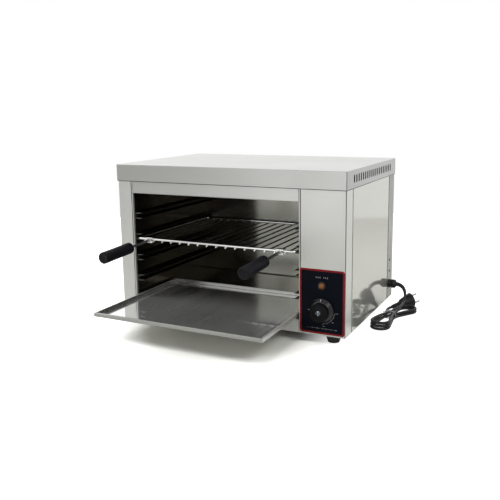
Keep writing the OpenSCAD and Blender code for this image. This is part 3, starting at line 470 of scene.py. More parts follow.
def rounded_line(points, radius, steps=5):
    """An open line with its corners rounded."""
    out = [points[0]]
    for i in range(1, len(points) - 1):
        p, a, b = Vector(points[i]), Vector(points[i - 1]), Vector(points[i + 1])
        u, v = (a - p).normalized(), (b - p).normalized()
        half = math.acos(max(-1, min(1, u.dot(v)))) / 2
        reach = min(radius / math.tan(half), 0.49 * (a - p).length, 0.49 * (b - p).length)
        centre = p + (u + v).normalized() * math.hypot(reach, reach * math.tan(half))
        s, e = p + u * reach - centre, p + v * reach - centre
        turn = s.angle_signed(e)
        for k in range(steps + 1):
            t = -turn * k / steps
            out.append(tuple(centre + Vector((s.x * math.cos(t) - s.y * math.sin(t),
                                              s.x * math.sin(t) + s.y * math.cos(t)))))
    return out + [points[-1]]


def sheet_outline(line, thick, radius):
    """The closed outline of a bent sheet whose outer face follows the line."""
    outer = rounded_line(line, radius)
    inner = rounded_line(offset_line(line, thick), max(0.05, radius - thick))
    return outer + inner[::-1]


def extruded(name, stations, axis):
    """Outlines of as many points each, at distances along an axis: (distance, outline)."""
    def place(p, d):
        return {"x": at(d, *p), "y": at(p[0], d, p[1]), "z": at(*p, d)}[axis]
    verts = [place(p, distance) for distance, outline in stations for p in outline]
    return object_from(name, verts, loft_faces(len(stations), len(stations[0][1])))


def bent_sheet(name, line, thick, radius, low, high, axis):
    outline = sheet_outline(line, thick, radius)
    return extruded(name, [(low, outline), (high, outline)], axis)


def tube(name, points, radius, sides=20, closed=False):
    """A round rod through points in metres, with rings that don't twist."""
    n = len(points)
    verts, normal = [], None
    for i, p in enumerate(points):
        ahead, behind = (i + 1) % n, i - 1
        if not closed:
            ahead, behind = min(i + 1, n - 1), max(i - 1, 0)
        d = (points[ahead] - points[behind]).normalized()
        normal = d.orthogonal() if normal is None else normal - d * normal.dot(d)
        normal.normalize()
        other = d.cross(normal)
        for k in range(sides):
            a = 2 * math.pi * k / sides
            verts.append(p + (normal * math.cos(a) + other * math.sin(a)) * radius * MM)
    return object_from(name, verts, loft_faces(n, sides, closed))


def rod(name, start, end, radius, rounding=0.6, sides=24):
    """A straight rod in work millimetres with rounded ends."""
    start, end = at(*start), at(*end)
    length, r = (end - start).length / MM, rounding
    profile = [(0, 0), (radius - r, 0), *arc(radius - r, r, r, -60, 0, 2),
               *arc(radius - r, length - r, r, 0, 90, 3), (0, length)]
    return lathe(name, profile, start, end - start, sides)


# ---- Mains lead ----

# The route repeats the one in the part's source
CORD_D = 6.5
LEAD = [(288.4, 344.4, 56.5), (308.4, 344.4, 56.5), (317.5, 343.4, 55.2), (325.5, 340.5, 51.7),
        (331.5, 336, 46), (335, 330.4, 39.4), (337, 323.5, 33), (338.2, 315, 27.6),
        (339, 305, 23.7), (339.2, 294, 21.4), (339, 282, 20.2), (338.5, 270, 19),
        (337.5, 260, 17.5)]
TAIL = [(311.5, 245, 4.4), (307.8, 260, 4.3), (304.0, 274, 4.2), (301.6, 286.5, 4.2),
        (302.7, 298.4, 4.6), (308.5, 309.0, 5.55)]
TIE_Y = 232.0
TIE_HEIGHT_IN = 12.4
LOW_LAYER, MID_LAYER, HIGH_LAYER = 4.5, 11.1, 17.7
FOLD_R = 20.6
REAR_FOLD = (350, 296)
# Where each run passes the tie, in the order of the lead
TIE_X = (333.0, 316.0, 325.8, 319.2, 332.4, 312.6)
# Each fold's middle, and the heights at the tie before it, at the fold and at the tie after it
FOLDS = [
    ((322, 156.5), (TIE_HEIGHT_IN, HIGH_LAYER, MID_LAYER)),
    (REAR_FOLD, (MID_LAYER, MID_LAYER, LOW_LAYER)),
    ((322, 155), (LOW_LAYER, MID_LAYER, LOW_LAYER)),
    (REAR_FOLD, (LOW_LAYER, LOW_LAYER, LOW_LAYER)),
    ((322, 153.5), (LOW_LAYER, LOW_LAYER, LOW_LAYER)),
]
CORD_STEP = 3.0
# How far a corner is rounded beside the tie, and elsewhere, and how far the tie's hold reaches
LOOSE, TIGHT, HOLD = 14.0, 5.0, 26.0


def through(points, steps):
    """A smooth line through the points."""
    p = [Vector(q) for q in points]
    n = len(p)
    out = []
    for i in range(n - 1):
        a, b, c, d = p[max(i - 1, 0)], p[i], p[i + 1], p[min(i + 2, n - 1)]
        for j in range(steps):
            t = j / steps
            out.append(0.5 * (2 * b + (c - a) * t + (2 * a - 5 * b + 4 * c - d) * t * t
                              + (3 * b - a - 3 * c + d) * t ** 3))
    return out + [p[-1]]


def fold_run(x_in, x_out, centre, heights):
    """From the tie straight to a fold, round it clockwise, and straight back to the tie."""
    ends = [Vector((x, TIE_Y)) for x in (x_in, x_out)]
    mid = Vector(centre)
    angles = []
    for end, side in zip(ends, (-1, 1)):
        d = end - mid
        angles.append(math.atan2(d.y, d.x) + side * math.acos(FOLD_R / d.length))
    while angles[1] > angles[0]:
        angles[1] -= 2 * math.pi
    touch = [mid + FOLD_R * Vector((math.cos(a), math.sin(a))) for a in angles]
    z_in, z_fold, z_out = heights
    points = []
    count = int((touch[0] - ends[0]).length / CORD_STEP)
    for i in range(count):
        t = i / count
        rise = math.sqrt(1 - (1 - t) ** 2)
        points.append((*ends[0].lerp(touch[0], t), z_in + (z_fold - z_in) * rise))
    count = int((angles[0] - angles[1]) * FOLD_R / CORD_STEP)
    for i in range(count):
        a = angles[0] + (angles[1] - angles[0]) * i / count
        points.append((mid.x + FOLD_R * math.cos(a), mid.y + FOLD_R * math.sin(a), z_fold))
    count = int((ends[1] - touch[1]).length / CORD_STEP)
    for i in range(count):
        t = i / count
        fall = 1 - math.sqrt(1 - t * t)
        points.append((*touch[1].lerp(ends[1], t), z_fold + (z_out - z_fold) * fall))
    return points


def relaxed(points, sigma):
    """The same line, evenly spaced, with its corners rounded as a stiff cord would round them."""
    p = np.array([tuple(q) for q in points], float)
    s = np.concatenate([[0], np.cumsum(np.linalg.norm(np.diff(p, axis=0), axis=1))])
    t = np.linspace(0, s[-1], int(s[-1] / CORD_STEP) + 1)
    p = np.stack([np.interp(t, s, p[:, k]) for k in range(3)], 1)
    w = int(3 * sigma / CORD_STEP) + 1
    kernel = np.exp(-0.5 * (np.arange(-w, w + 1) * CORD_STEP / sigma) ** 2)
    kernel /= kernel.sum()
    extended = np.concatenate([2 * p[0] - p[w:0:-1], p, 2 * p[-1] - p[-2:-w - 2:-1]])
    return np.stack([np.convolve(extended[:, k], kernel, "valid") for k in range(3)], 1)


def lead_route():
    raw = [LEAD[-1]]
    for x_in, x_out, (centre, heights) in zip(TIE_X, TIE_X[1:], FOLDS):
        raw += fold_run(x_in, x_out, centre, heights)
    raw += [(TIE_X[-1], TIE_Y, LOW_LAYER)] + TAIL
    tight, loose = relaxed(raw, TIGHT), relaxed(raw, LOOSE)
    near_tie = np.exp(-((tight[:, 1:2] - TIE_Y) / HOLD) ** 2)
    near_tie[:4] = 0
    near_tie[-8:] = 0
    bundle = tight + near_tie * (loose - tight)
    return through(LEAD, 3)[:-1] + [Vector(p) for p in bundle]


def make_cord():
    route = [at(*p) for p in lead_route()]
    curve = bpy.data.curves.new("mains_lead", "CURVE")
    curve.dimensions = "3D"
    curve.bevel_depth = CORD_D / 2 * MM
    curve.bevel_resolution = 5
    curve.use_fill_caps = True
    spline = curve.splines.new("POLY")
    spline.points.add(len(route) - 1)
    for point, p in zip(spline.points, route):
        point.co = (*p, 1)
    spline.use_smooth = True
    cord = new_object("mains_lead", curve)
    finish_piece(cord, "cord", ("cord_lead", "cord_hank"))
    return cord, round(sum((b - a).length for a, b in zip(route, route[1:])), 3)


# ---- Plug, tie and gland ----

PLUG_AT = (348.5, 349, 18.6)
PLUG_HEADING, PLUG_TILT, PLUG_ROLL = 45.0, 13.0, -30.0
PIN_PITCH, PIN_LEN, PIN_R, PIN_TIP = 19.0, 19.0, 2.4, 2.4
SHELL = [(0, 0), (16.2, 0), (17.2, -0.3), (18.0, -1.0), (18.3, -1.9), (18.2, -3), (17.6, -4.2),
         (16.9, -7), (16.3, -10), (15.4, -14), (14.2, -19), (12.9, -24), (11.6, -28.5),
         (10.6, -31.5), (9.4, -33.6), (8.0, -35), (6.6, -35.6)]
RELIEF_START, RELIEF_END, RELIEF_RIBS, RELIEF_R, RELIEF_TAPER = 36.0, 58.0, 6, 6.6, 1.9
PINCH_START, PINCH_END, PINCH = 6, 35, 0.16


def plug_profile():
    """The shell, and behind it the ribs of the strain relief, thinner towards the cord."""
    profile = list(SHELL)
    pitch = (RELIEF_END - RELIEF_START) / RELIEF_RIBS
    rib = ((0.1, 0), (0, 0.35), (0.2, pitch * 0.62), (0.5, pitch * 0.68), (1.0, pitch * 0.74),
           (1.0, pitch * 0.92))
    for i in range(RELIEF_RIBS):
        start = RELIEF_START + i * pitch
        radius = RELIEF_R - RELIEF_TAPER * i / RELIEF_RIBS
        profile += [(radius - drop, -start - along) for drop, along in rib]
    return profile + [(4.6, 0.3 - RELIEF_END), (4.3, -RELIEF_END), (3.2, -RELIEF_END)]


def make_plug():
    turn = (Matrix.Rotation(math.radians(PLUG_HEADING), 3, "Z")
            @ Matrix.Rotation(math.radians(90 - PLUG_TILT), 3, "Y")
            @ Matrix.Rotation(math.radians(PLUG_ROLL), 3, "Z"))
    side, across, axis = turn.transposed()
    face = at(*PLUG_AT)
    body = lathe("plug_shell", plug_profile(), face, axis, 72)
    for v in body.data.vertices:
        # the shell is pinched flat on two sides behind its face
        local = (v.co - face) / MM
        depth = -local.dot(axis)
        if PINCH_START < depth < PINCH_END:
            pinch = PINCH * math.sin(math.pi * (depth - PINCH_START) / (PINCH_END - PINCH_START))
            v.co -= across * (local.dot(across) * pinch * MM)
    finish_piece(body, "plug", ("plug_body",), 40)
    shank = PIN_LEN - PIN_TIP
    steps = [(0, 0), (PIN_R + 0.7, 0), (PIN_R + 0.7, 0.5), (PIN_R, 0.9), (PIN_R, shank),
             *sweep(0, shank, PIN_R, PIN_TIP, (15, 30, 45, 60, 75)), (0, PIN_LEN)]
    pins = joined("plug_contact_pins", [
        lathe("pin", steps, face + side * s * PIN_PITCH / 2 * MM, axis, 32) for s in (-1, 1)])
    return body, finish_piece(pins, "screw", ("plug_pins",))


def make_tie():
    """A flat clear strap round the bundle where the runs pass the tie."""
    half_x, half_z, cx, cz, thick, half_wide = 14.2, 8.3, 323.0, 9.4, 1.0, 3.0
    top = cz + half_z
    ring = round_box(cx - half_x, cz - half_z, cx + half_x, top, 6.0, 6)
    outer = []
    for x, z in ring:
        d = Vector((x - cx, z - cz)).normalized() * thick
        outer.append((x + d.x, z + d.y))
    low, high = TIE_Y - half_wide, TIE_Y + half_wide
    verts = [at(x, y, z) for y, shape in ((low, ring), (low, outer), (high, outer), (high, ring))
             for x, z in shape]
    band = object_from("tie_band", verts, loft_faces(4, len(ring), closed=True))
    knot = block("tie_knot", (cx - 3.5, TIE_Y - 3.6, top), (cx + 3.5, TIE_Y + 3.6, top + 3.4), 0.8)
    end = tube("tie_end", [at(cx, TIE_Y - 2, top + 2), at(cx - 7, TIE_Y - 8, top + 3.4),
                           at(cx - 15, TIE_Y - 11, top + 1)], 0.9, 8)
    return finish_piece(joined("tie_strap", [band, knot, end]), "tie", ("cord_tie",))


CORD_BORE = 3.6


def make_gland():
    low, high = mm_box("gland_dome")
    y, z = (low[1] + high[1]) / 2, (low[2] + high[2]) / 2
    side = mm_box("right_side_panel")[1][0]
    radius = (high[1] - low[1]) / 2
    origin = at(side, y, z)
    collar = lathe("collar", [(CORD_BORE, 0), (radius - 0.6, 0), (radius, 0.6), (radius, 4.6),
                              (radius - 1.2, 5.8), (9.0, 6.0), (9.0, 7.6), (CORD_BORE, 7.6)],
                   origin, RIGHT, 72)

    def spanner_flats(r, along, angle):
        if r <= radius - 1.5 or along >= 5.9:
            return 1
        turn = math.degrees(angle) % 60 - 30
        return min(1.0, radius * 0.93 / math.cos(math.radians(turn)) / r)

    def grip_ribs(r, along, angle):
        return flute(angle, 16, 0.035) if r > radius - 1.0 else 1

    scale_round(collar, origin, X, spanner_flats)
    length = high[0] - low[0]
    profile = [(CORD_BORE, 0), (radius - 0.8, 0), (radius, 0.8), (radius, length - 5.4),
               *arc(radius - 5, length - 5, 5, 0, 90), (3.45, length), (3.45, 2.0)]
    centre = at(low[0], y, z)
    dome = lathe("dome", profile, centre, RIGHT, 128)
    scale_round(dome, centre, X, grip_ribs)
    finish_piece(dome, "black", ("gland_dome",), 50)
    tail = lathe("tail", [(CORD_BORE, -14), (8, -14), (8, 0.2), (CORD_BORE, 0.2)], origin, RIGHT,
                 48)
    body = joined("gland_collar", [collar, tail])
    return finish_piece(body, "black", ("gland_body",), 40), dome


def make_boot():
    """Ribbed sleeve that tapers along the first stretch of the lead."""
    length, wide, narrow, ribs, sides = 36.0, 5.6, 3.75, 7, 28
    route = through(LEAD[1:], 12)
    travelled, points, radii = 0.0, [], []
    last = route[0]
    for p in route:
        travelled += (p - last).length
        last = p
        if travelled > length:
            break
        t = travelled / length
        groove = 0.5 * max(0.0, math.sin(2 * math.pi * ribs * t)) ** 2 if t < 0.92 else 0.0
        points.append(at(*p))
        radii.append(wide + (narrow - wide) * t - groove)
    points.insert(0, points[0] - Vector((1.0 * MM, 0, 0)))
    radii.insert(0, wide)
    boot = tube("lead_boot", points, 1.0, sides)
    for i, (centre, radius) in enumerate(zip(points, radii)):
        for v in boot.data.vertices[i * sides:(i + 1) * sides]:
            v.co = centre + (v.co - centre) * radius
    return finish_piece(boot, "black", (), 60)


cord, cord_length = make_cord()
plug, pins = make_plug()
tie = make_tie()
gland_collar, gland_nut = make_gland()
boot = make_boot()


# ---- Cover ----

SHEET = 1.0
BEND = 2.2
GROOVE = 4.6
EDGE = 0.2
WRAP_Y = mm_box("front_left_post")[1][1]
BACK_Y = mm_box("back_panel")[1][1]
FLANGE_Y = BACK_Y - 45.0


def on_fold(normal):
    """Whether a face lies on the round of an upright fold."""
    return min(abs(normal.x), abs(normal.y)) > 0.25 and abs(normal.z) < 0.2


def slot_cutter(centre, half_w, half_h, axis):
    """A closed prism with round ends for a vent slot, across an axis."""
    depth, end = 4, half_h - half_w
    outline = arc(0, end, half_w, 0, 180, 8) + arc(0, -end, half_w, 180, 360, 8)
    x, y, z = centre
    verts = [at(x + d, y + p, z + q) if axis == X else at(x + p, y + d, z + q)
             for d in (-depth, depth) for p, q in outline]
    return object_from("slot", verts, loft_faces(2, len(outline)))


def cover_sheet(low, high):
    """The folded sheet of the cover, open below."""
    bm = box_bmesh(low, high)
    bottom = [f for f in bm.faces if f.normal.z < -0.5]
    rim_edges = {e for f in bottom for e in f.edges}
    bmesh.ops.delete(bm, geom=bottom, context="FACES_ONLY")
    round_edges(bm, [e for e in bm.edges if e not in rim_edges], 1.7, 4)
    cover = from_bmesh("cover_shell", bm)
    solid = cover.modifiers.new("sheet", "SOLIDIFY")
    solid.thickness = SHEET * MM
    solid.offset = -1
    solid.use_even_offset = True
    return applied(cover)


def make_cover():
    low, high = mm_box("top_cover")
    cover = cover_sheet(low, high)
    count, pitch, margin, half_w = 19, 15.7, 10.5, 3.9
    mid_y, mid_z = (low[1] + high[1]) / 2, (low[2] + high[2]) / 2
    half_h = (high[2] - low[2]) / 2 - margin
    cutters = [slot_cutter((x, mid_y + (i - (count - 1) / 2) * pitch, mid_z), half_w, half_h, X)
               for i in range(count) for x in (low[0], high[0])]
    # the butt seams of the folded rim, one beside each corner
    cutters += [block("seam", (x - 0.45, y - 0.3, low[2] - 1), (x + 0.45, y + 0.3, high[2] - 2.2))
                for x in (low[0], high[0]) for y in (low[1] + 4.2, high[1] - 4.2)]
    cut(cover, cutters)
    finish_piece(cover, "satin_x", ("top_cover",), 30)
    # faces deeper than this are inside; they get painted shade, a near-black, so that the vent slots
    # look dark
    within = 0.8

    def choose(c, n):
        if (all(low[k] + within < c[k] < high[k] - within for k in (X, Y))
                and c[2] < high[2] - within):
            return 1
        # painted shade: the rounds of the upright folds get a dark steel
        if on_fold(n):
            return 2
        # painted highlight on the top faces, a lighter steel, and painted shade on the rim's sides, a
        # darker steel
        if n.z > 0.7:
            return 3
        return 4 if abs(n.x) > 0.7 else 0

    paint(cover, ("soot", "bend", "lid", "rim_side"), choose)
    soften(cover, 0.22)


def make_shade_strips():
    """Painted shade: black strips in the joints, under the rim of the cover, beside the side panels
    and at the ends of the rail and sill, that stand in for the shadow in these gaps.
    """
    low, high = mm_box("top_cover")
    (side, front, _), _ = mm_box("front_left_post")
    drop, tuck = 1.5, 3.0
    z0, z1 = low[2] - drop, low[2] + tuck
    x0, x1 = low[0] + SHEET, high[0] - SHEET
    spans = [((x0, front - 1.4, z0), (x1, front + 0.2, z1), 0.3, 2),
             ((x0, BACK_Y - 0.2, z0), (x1, BACK_Y + 0.6, z1), 0.3, 2),
             ((side - 1.0, front - 1.2, z0), (side + 0.2, BACK_Y + 0.5, z1), 0.3, 2),
             ((-side - 0.2, front - 1.2, z0), (1.0 - side, BACK_Y + 0.5, z1), 0.3, 2)]
    panel_low = mm_box("right_side_panel")[0][2]
    half = GROOVE / 2 - 0.05
    for s in (-1, 1):
        left, right = sorted((-side * s - 0.15 * s, -side * s - 1.1 * s))
        for y in (WRAP_Y + GROOVE / 2, FLANGE_Y - GROOVE / 2):
            spans.append(((left, y - half, panel_low), (right, y + half, z0 + 2), 0.2, 2))
    for node in ("front_top_rail", "front_sill"):
        (x0, _, bottom), (x1, _, top) = mm_box(node)
        for x in (x0 - 1.3, x1 - 0.3):
            spans.append(((x, front + 0.5, bottom + 0.3), (x + 1.6, front + 2.5, top), 0.2, 1))
    finish_piece(joined("joint_shade_strips", [block("bead", *span) for span in spans]), "black",
                 (), 40)


# ---- Front frame ----

def paint_fold_shade(obj, corner_x):
    """Painted shade on a folded outer corner: the round of the fold gets a dark steel, and the side
    strip behind it gets a lighter steel, a painted highlight.
    """
    def choose(c, n):
        if abs(c[0] - corner_x) >= 2 * BEND:
            return 0
        return 1 if on_fold(n) else 2 if abs(n.x) > 0.9 else 0

    paint(obj, ("bend", "flange"), choose)


def make_front():
    front = mm_box("front_left_post")[0][1]
    lip_z = mm_box("front_sill")[0][2] + 12.0
    side_lip = front + 6.0
    # post and column: wrap round the side, front face, and a lip beside the opening
    for name, node, turn in (("post", "front_left_post", 1), ("column", "control_panel", -1)):
        low, high = mm_box(node)
        corner, inner = (low[0], high[0])[::turn]
        line = [(corner, high[1]), (corner, front), (inner, front)][::turn]
        lip = [(inner - turn * BEND * 2, front), (inner, front), (inner, side_lip)][::turn]
        sheet = joined(name + "_sheet", [
            bent_sheet(name, line, SHEET, BEND, low[2], high[2], "z"),
            bent_sheet("lip", lip, SHEET, BEND, lip_z, high[2], "z")])
        finish_piece(sheet, "satin_z", (node,), 30)
        paint_fold_shade(sheet, corner)
        soften(sheet, EDGE)
    # top rail and sill: the rail has a lip above and below, the sill above alone
    lip_y = mm_box("front_top_rail")[1][1]
    for name, node, corners in (("rail_sheet", "front_top_rail", 4), ("sill_sheet", "front_sill", 3)):
        low, high = mm_box(node)
        line = [(lip_y, high[2]), (front, high[2]), (front, low[2]), (lip_y, low[2])][:corners]
        sheet = bent_sheet(name, line, SHEET, BEND, low[0], high[0], "x")
        soften(sheet, EDGE)
        finish_piece(sheet, "rail", (node,), 30)


# ---- Sides and back ----

HOLE_R, HOLE_REACH = 8.2, 6


def gland_hole(x):
    profile = [(0, -HOLE_REACH), (HOLE_R, -HOLE_REACH), (HOLE_R, HOLE_REACH), (0, HOLE_REACH)]
    return lathe("hole", profile, at(x, *LEAD[0][1:]), RIGHT, 48)


def make_sides():
    low, high = mm_box("right_side_panel")
    x, step = high[0], 1.0
    line = [(x - step, low[1]), (x - step, WRAP_Y + GROOVE), (x, WRAP_Y + GROOVE + 1),
            (x, FLANGE_Y - GROOVE - 1), (x - step, FLANGE_Y - GROOVE), (x - step, high[1])]
    for side, sign in (("right", 1), ("left", -1)):
        panel = bent_sheet(side + "_side_sheet", [(px * sign, py) for px, py in line],
                           SHEET * sign, 0.8, low[2], high[2], "z")
        if sign > 0:
            cut(panel, [gland_hole(x)])
        soften(panel, 0.15)
        finish_piece(panel, "bright", (side + "_side_panel",), 20)


def make_back():
    low, high = mm_box("back_panel")
    x = high[0]
    line = [(-x, FLANGE_Y), (-x, BACK_Y), (x, BACK_Y), (x, FLANGE_Y)]
    back = bent_sheet("back", line, -SHEET, BEND, low[2], high[2], "z")
    count, pitch, slot_h, slot_w = 12, 14.0, 26.0, 4.0
    slot_z = mm_box("top_cover")[0][2] - 16 - slot_h / 2
    cutters = [slot_cutter(((i - (count - 1) / 2) * pitch, BACK_Y, slot_z), slot_w / 2,
                           slot_h / 2, Y) for i in range(count)]
    cut(back, cutters + [gland_hole(x)])
    lip = block("lip", (low[0] + 2, BACK_Y - 15, high[2] - 1), (high[0] - 2, BACK_Y - 0.5, high[2]))
    back = joined("back_sheet", [back, lip])
    soften(back, EDGE)
    finish_piece(back, "satin_x", ("back_panel",), 30)


# ---- Screws ----

HEAD_R, HEAD_H = 3.6, 1.5


def pan_screw(origin, axis):
    """A domed head with a cross recess."""
    axis = Vector(axis)
    profile = [(0, -0.5), (HEAD_R - 0.15, -0.5), (HEAD_R, 0.0), (HEAD_R, HEAD_H * 0.25),
               *sweep(0, HEAD_H * 0.25, HEAD_R, HEAD_H * 0.75, (20, 40, 60, 75, 90))]
    head = lathe("head", profile, origin, axis, 48)
    side = axis.orthogonal().normalized()
    other = axis.cross(side)
    for a, b in ((side, other), (other, side)):
        verts = [origin + (axis * HEAD_H * d + a * u * 1.9 * wide + b * v * 0.42) * MM
                 for d, wide in ((0.35, 0.75), (1.4, 1.0))
                 for u, v in ((-1, -1), (1, -1), (1, 1), (-1, 1))]
        cut(head, [object_from("arm", verts, loft_faces(2, 4))])
    return head


def make_screws():
    (_, y0, z0), (_, y1, z1) = mm_box("side_screws")
    seat = mm_box("back_panel")[1][0]
    heads = [pan_screw(at(seat, (y0 + y1) / 2, z), RIGHT) for z in (z0 + HEAD_R, z1 - HEAD_R)]
    finish_piece(joined("side_screw_heads", heads), "side_screw",
                 ("side_screws",), 40)
    for side, seat in (("back", BACK_Y), ("cover", mm_box("top_cover")[1][1])):
        (x0, _, z0), (x1, _, z1) = mm_box(side + "_screws")
        heads = [pan_screw(at(x, seat, (z0 + z1) / 2), BACKWARD)
                 for x in (x0 + HEAD_R, 0.0, x1 - HEAD_R)]
        finish_piece(joined(side + "_screw_heads", heads), "screw",
                     (side + "_screws",), 40)


# ---- Guides ----

GUIDE_W, GUIDE_H, GUIDE_T, GUIDE_PITCH, GUIDE_NOSE = 15.8, 13.6, 1.2, 51.3, 7.0


def guide_outline(x, sign, z, reach):
    line = [(x + sign * reach, z - GUIDE_H / 2), (x, z - GUIDE_H / 2), (x, z + GUIDE_H / 2),
            (x + sign * reach, z + GUIDE_H / 2)]
    return sheet_outline(line, -sign * GUIDE_T, 2.6)


def make_guides():
    for side, sign in (("left", 1), ("right", -1)):
        low, high = mm_box(side + "_guides")
        x = low[0] if sign > 0 else high[0]
        rails = []
        for level in range(4):
            z = low[2] + GUIDE_H / 2 + level * GUIDE_PITCH
            stations = []
            for s in (0.0, 0.4, 1.2, 2.5, 4.2, GUIDE_NOSE):
                reach = GUIDE_W - GUIDE_NOSE + math.sqrt(GUIDE_NOSE ** 2 - (GUIDE_NOSE - s) ** 2)
                stations.append((low[1] + s, guide_outline(x, sign, z, max(reach, 6.5))))
            stations.append((high[1], guide_outline(x, sign, z, GUIDE_W)))
            rails.append(extruded("rail", stations, "y"))
        guides = joined(side + "_guide_rails", rails)
        finish_piece(guides, "guide", (side + "_guides",), 40)
        # painted highlight: the rounded front ends get a lighter steel where the light from the front
        # catches them
        worn = low[1] + GUIDE_NOSE
        paint(guides, ("guide_tip",), lambda c, n: int(c[1] < worn))


def make_liner_edges():
    """The folded edge of each side liner, where it meets the cavity's back."""
    low, high = mm_box("back_liner")
    y, floor_z, r = low[1] - 1.0, mm_box("cavity_floor")[1][2], 1.0
    ends = [((x, y, floor_z), (x, y, high[2] - 1)) for x in (low[0] + r, high[0] - r)]
    ends.append(((low[0], y, floor_z + r), (high[0], y, floor_z + r)))
    edges = [rod("edge", start, end, r, 0.4, 16) for start, end in ends]
    finish_piece(joined("liner_edges", edges), "guide", (), 40)


# ---- Drip tray ----

def make_tray():
    low, high = mm_box("drip_tray")
    t, hem, h = 0.8, 4.0, high[2] - low[2]
    r, r_in, r_hem = 1.8, 1.0, 1.4
    # inward distance and height, round the outside and back along the inside
    path = [(r + 14, 0), *arc(r, r, r, 270, 180, 5), *arc(r_hem, h - r_hem, r_hem, 180, 90, 5),
            (hem, h), (hem, h - t), *arc(t + r_in, h - t - r_in, r_in, 90, 180, 4),
            *arc(t + r_in, t + r_in, r_in, 180, 270, 4), (r + 14, t)]
    verts = []
    for d, z in path:
        x0, x1, y0, y1 = low[0] + d, high[0] - d, low[1] + d, high[1] - d
        verts += [at(x, y, low[2] + z) for x, y in ((x0, y0), (x1, y0), (x1, y1), (x0, y1))]
    tray = object_from("tray_pan", verts, loft_faces(len(path), 4))
    finish_piece(tray, "tray", ("drip_tray",), 30, "tray")
    wall, hem_deep = 1.2, 1.6

    def choose(c, n):
        inward_x, inward_y = (min(c[k] - low[k], high[k] - c[k]) - wall for k in (X, Y))
        on_hem = c[2] > high[2] - hem_deep
        if inward_x < -0.6 or (on_hem and inward_x < hem):
            return 2
        return int(on_hem or inward_x <= 0 or inward_y <= 0)

    # the outer walls and the front and back hem are rougher and darker than the pressed inside; the
    # sides and the hem beside them get a lighter steel, a painted highlight where the round catches
    # the light
    paint(tray, ("tray_rim", "hem"), choose)
    soften(tray, 0.25)


# ---- Rack ----

WIRE_COUNT, WIRE_PITCH = 16, 24.4


def make_rack():
    low, high = mm_box("rack_frame")
    r, z = (high[2] - low[2]) / 2, (low[2] + high[2]) / 2
    y0, y1 = low[1] + r, high[1] - r
    plan = round_box(low[0] + r, y0, high[0] - r, y1, 10.0, 10)
    frame_rod = tube("rack_rod", [at(x, y, z) for x, y in plan], r - 0.4, 28, True)
    finish_piece(frame_rod, "plated", ("rack_frame",), 60, "rack")
    low, high = mm_box("rack_wires")
    (mid, _, z), _ = middle("rack_wires")
    wire_r = (high[2] - low[2]) / 2
    bead = sweep(0, 0, 2.9, 1.7, range(-90, 91, 20))
    wires, welds = [], []
    for i in range(WIRE_COUNT):
        x = mid + (i - (WIRE_COUNT - 1) / 2) * WIRE_PITCH
        # painted highlight: each wire's front tip is plated, brighter than the dark wire, where the
        # front light catches the ends
        welds.append(rod("tip", (x, low[1] - 0.2, z), (x, low[1] + 1.6, z), wire_r + 0.25, 0.8,
                         20))
        wires.append(rod("wire", (x, low[1], z), (x, high[1], z), wire_r, 0.7, 20))
        welds += [lathe("weld", bead, at(x, y, z + wire_r - 0.1), UP, 14) for y in (y0, y1)]
    finish_piece(joined("rack_cross_wires", wires), "wires", ("rack_wires",), 60,
                 "rack")
    finish_piece(joined("rack_welds_and_lit_tips", welds), "plated", (), 60, "rack")


# ---- Handles ----

HANDLE_DROOP = 2.6
GRIP_R, GRIP_LEN, HANDLE_NECK = 13.0, 97.0, 76.0
STEM_R, STEM_LEN, STEM_DROP, CLIP_HALF = 3.2, HANDLE_NECK + 20, 5.4, 8.8


def make_handles():
    low, high = mm_box("handle_clips")
    rods_low, rods_high = mm_box("handle_rods")
    z = mm_box("rack_frame")[1][2] - STEM_DROP
    tilt = math.radians(HANDLE_DROOP)
    axis = Vector((0, -math.cos(tilt), -math.sin(tilt)))
    stem = [(0, 0), (STEM_R, 0), (STEM_R, STEM_LEN), (0, STEM_LEN)]
    bead = [(0, -0.2), (STEM_R + 1.6, 0), (STEM_R + 1.2, 0.8), (STEM_R + 0.4, 1.6), (STEM_R, 2.0)]
    grip = [(STEM_R + 0.05, 0.8), (6.0, 0.5), *arc(GRIP_R - 4, 4, 4, -90, 0),
            (GRIP_R - 0.15, GRIP_LEN * 0.5), (GRIP_R, GRIP_LEN - 2.6),
            *arc(GRIP_R - 2.6, GRIP_LEN - 2.6, 2.6, 15, 90, 5), (GRIP_R - 3.4, GRIP_LEN - 0.05),
            (GRIP_R - 4.0, GRIP_LEN - 0.45), (3, GRIP_LEN - 0.45), (0, GRIP_LEN - 0.45)]
    fold = [(low[1], low[2]), (low[1], high[2]), (high[1], high[2])]
    stems, clips = [], []
    for side, x in (("left", rods_low[0] + STEM_R), ("right", rods_high[0] - STEM_R)):
        root = at(x, low[1] + 0.5, z)
        stems += [lathe("stem", profile, root, axis, 28) for profile in (stem, bead)]
        piece = lathe(side + "_handle_grip", grip, root + axis * HANDLE_NECK * MM, axis)
        finish_piece(piece, "grip", (side + "_grip",), 50, "rack")
        clips.append(bent_sheet("clip", fold, -1.5, 2.4, x - CLIP_HALF, x + CLIP_HALF, "x"))
    finish_piece(joined("handle_stems", stems), "stem", ("handle_rods",), 50,
                 "rack")
    plates = joined("handle_clip_plates", clips)
    soften(plates, 0.3, 50)
    finish_piece(plates, "plated", ("handle_clips",), 30, "rack")


# ---- Label ----

LABEL_LOW, LABEL_HIGH = mm_box("label_border")
LABEL_Y, BODY_Y = LABEL_LOW[1], LABEL_HIGH[1]
COLUMN_X = (LABEL_LOW[0] + LABEL_HIGH[0]) / 2
KNOB_Z, LAMP_Z = middle("knob_cap")[0][2], middle("lamp_lens")[0][2]
PRINT_Y = LABEL_Y - 0.06


def label_outline(inset, r):
    return round_box(LABEL_LOW[0] + inset, LABEL_LOW[2] + inset, LABEL_HIGH[0] - inset,
                     LABEL_HIGH[2] - inset, r)


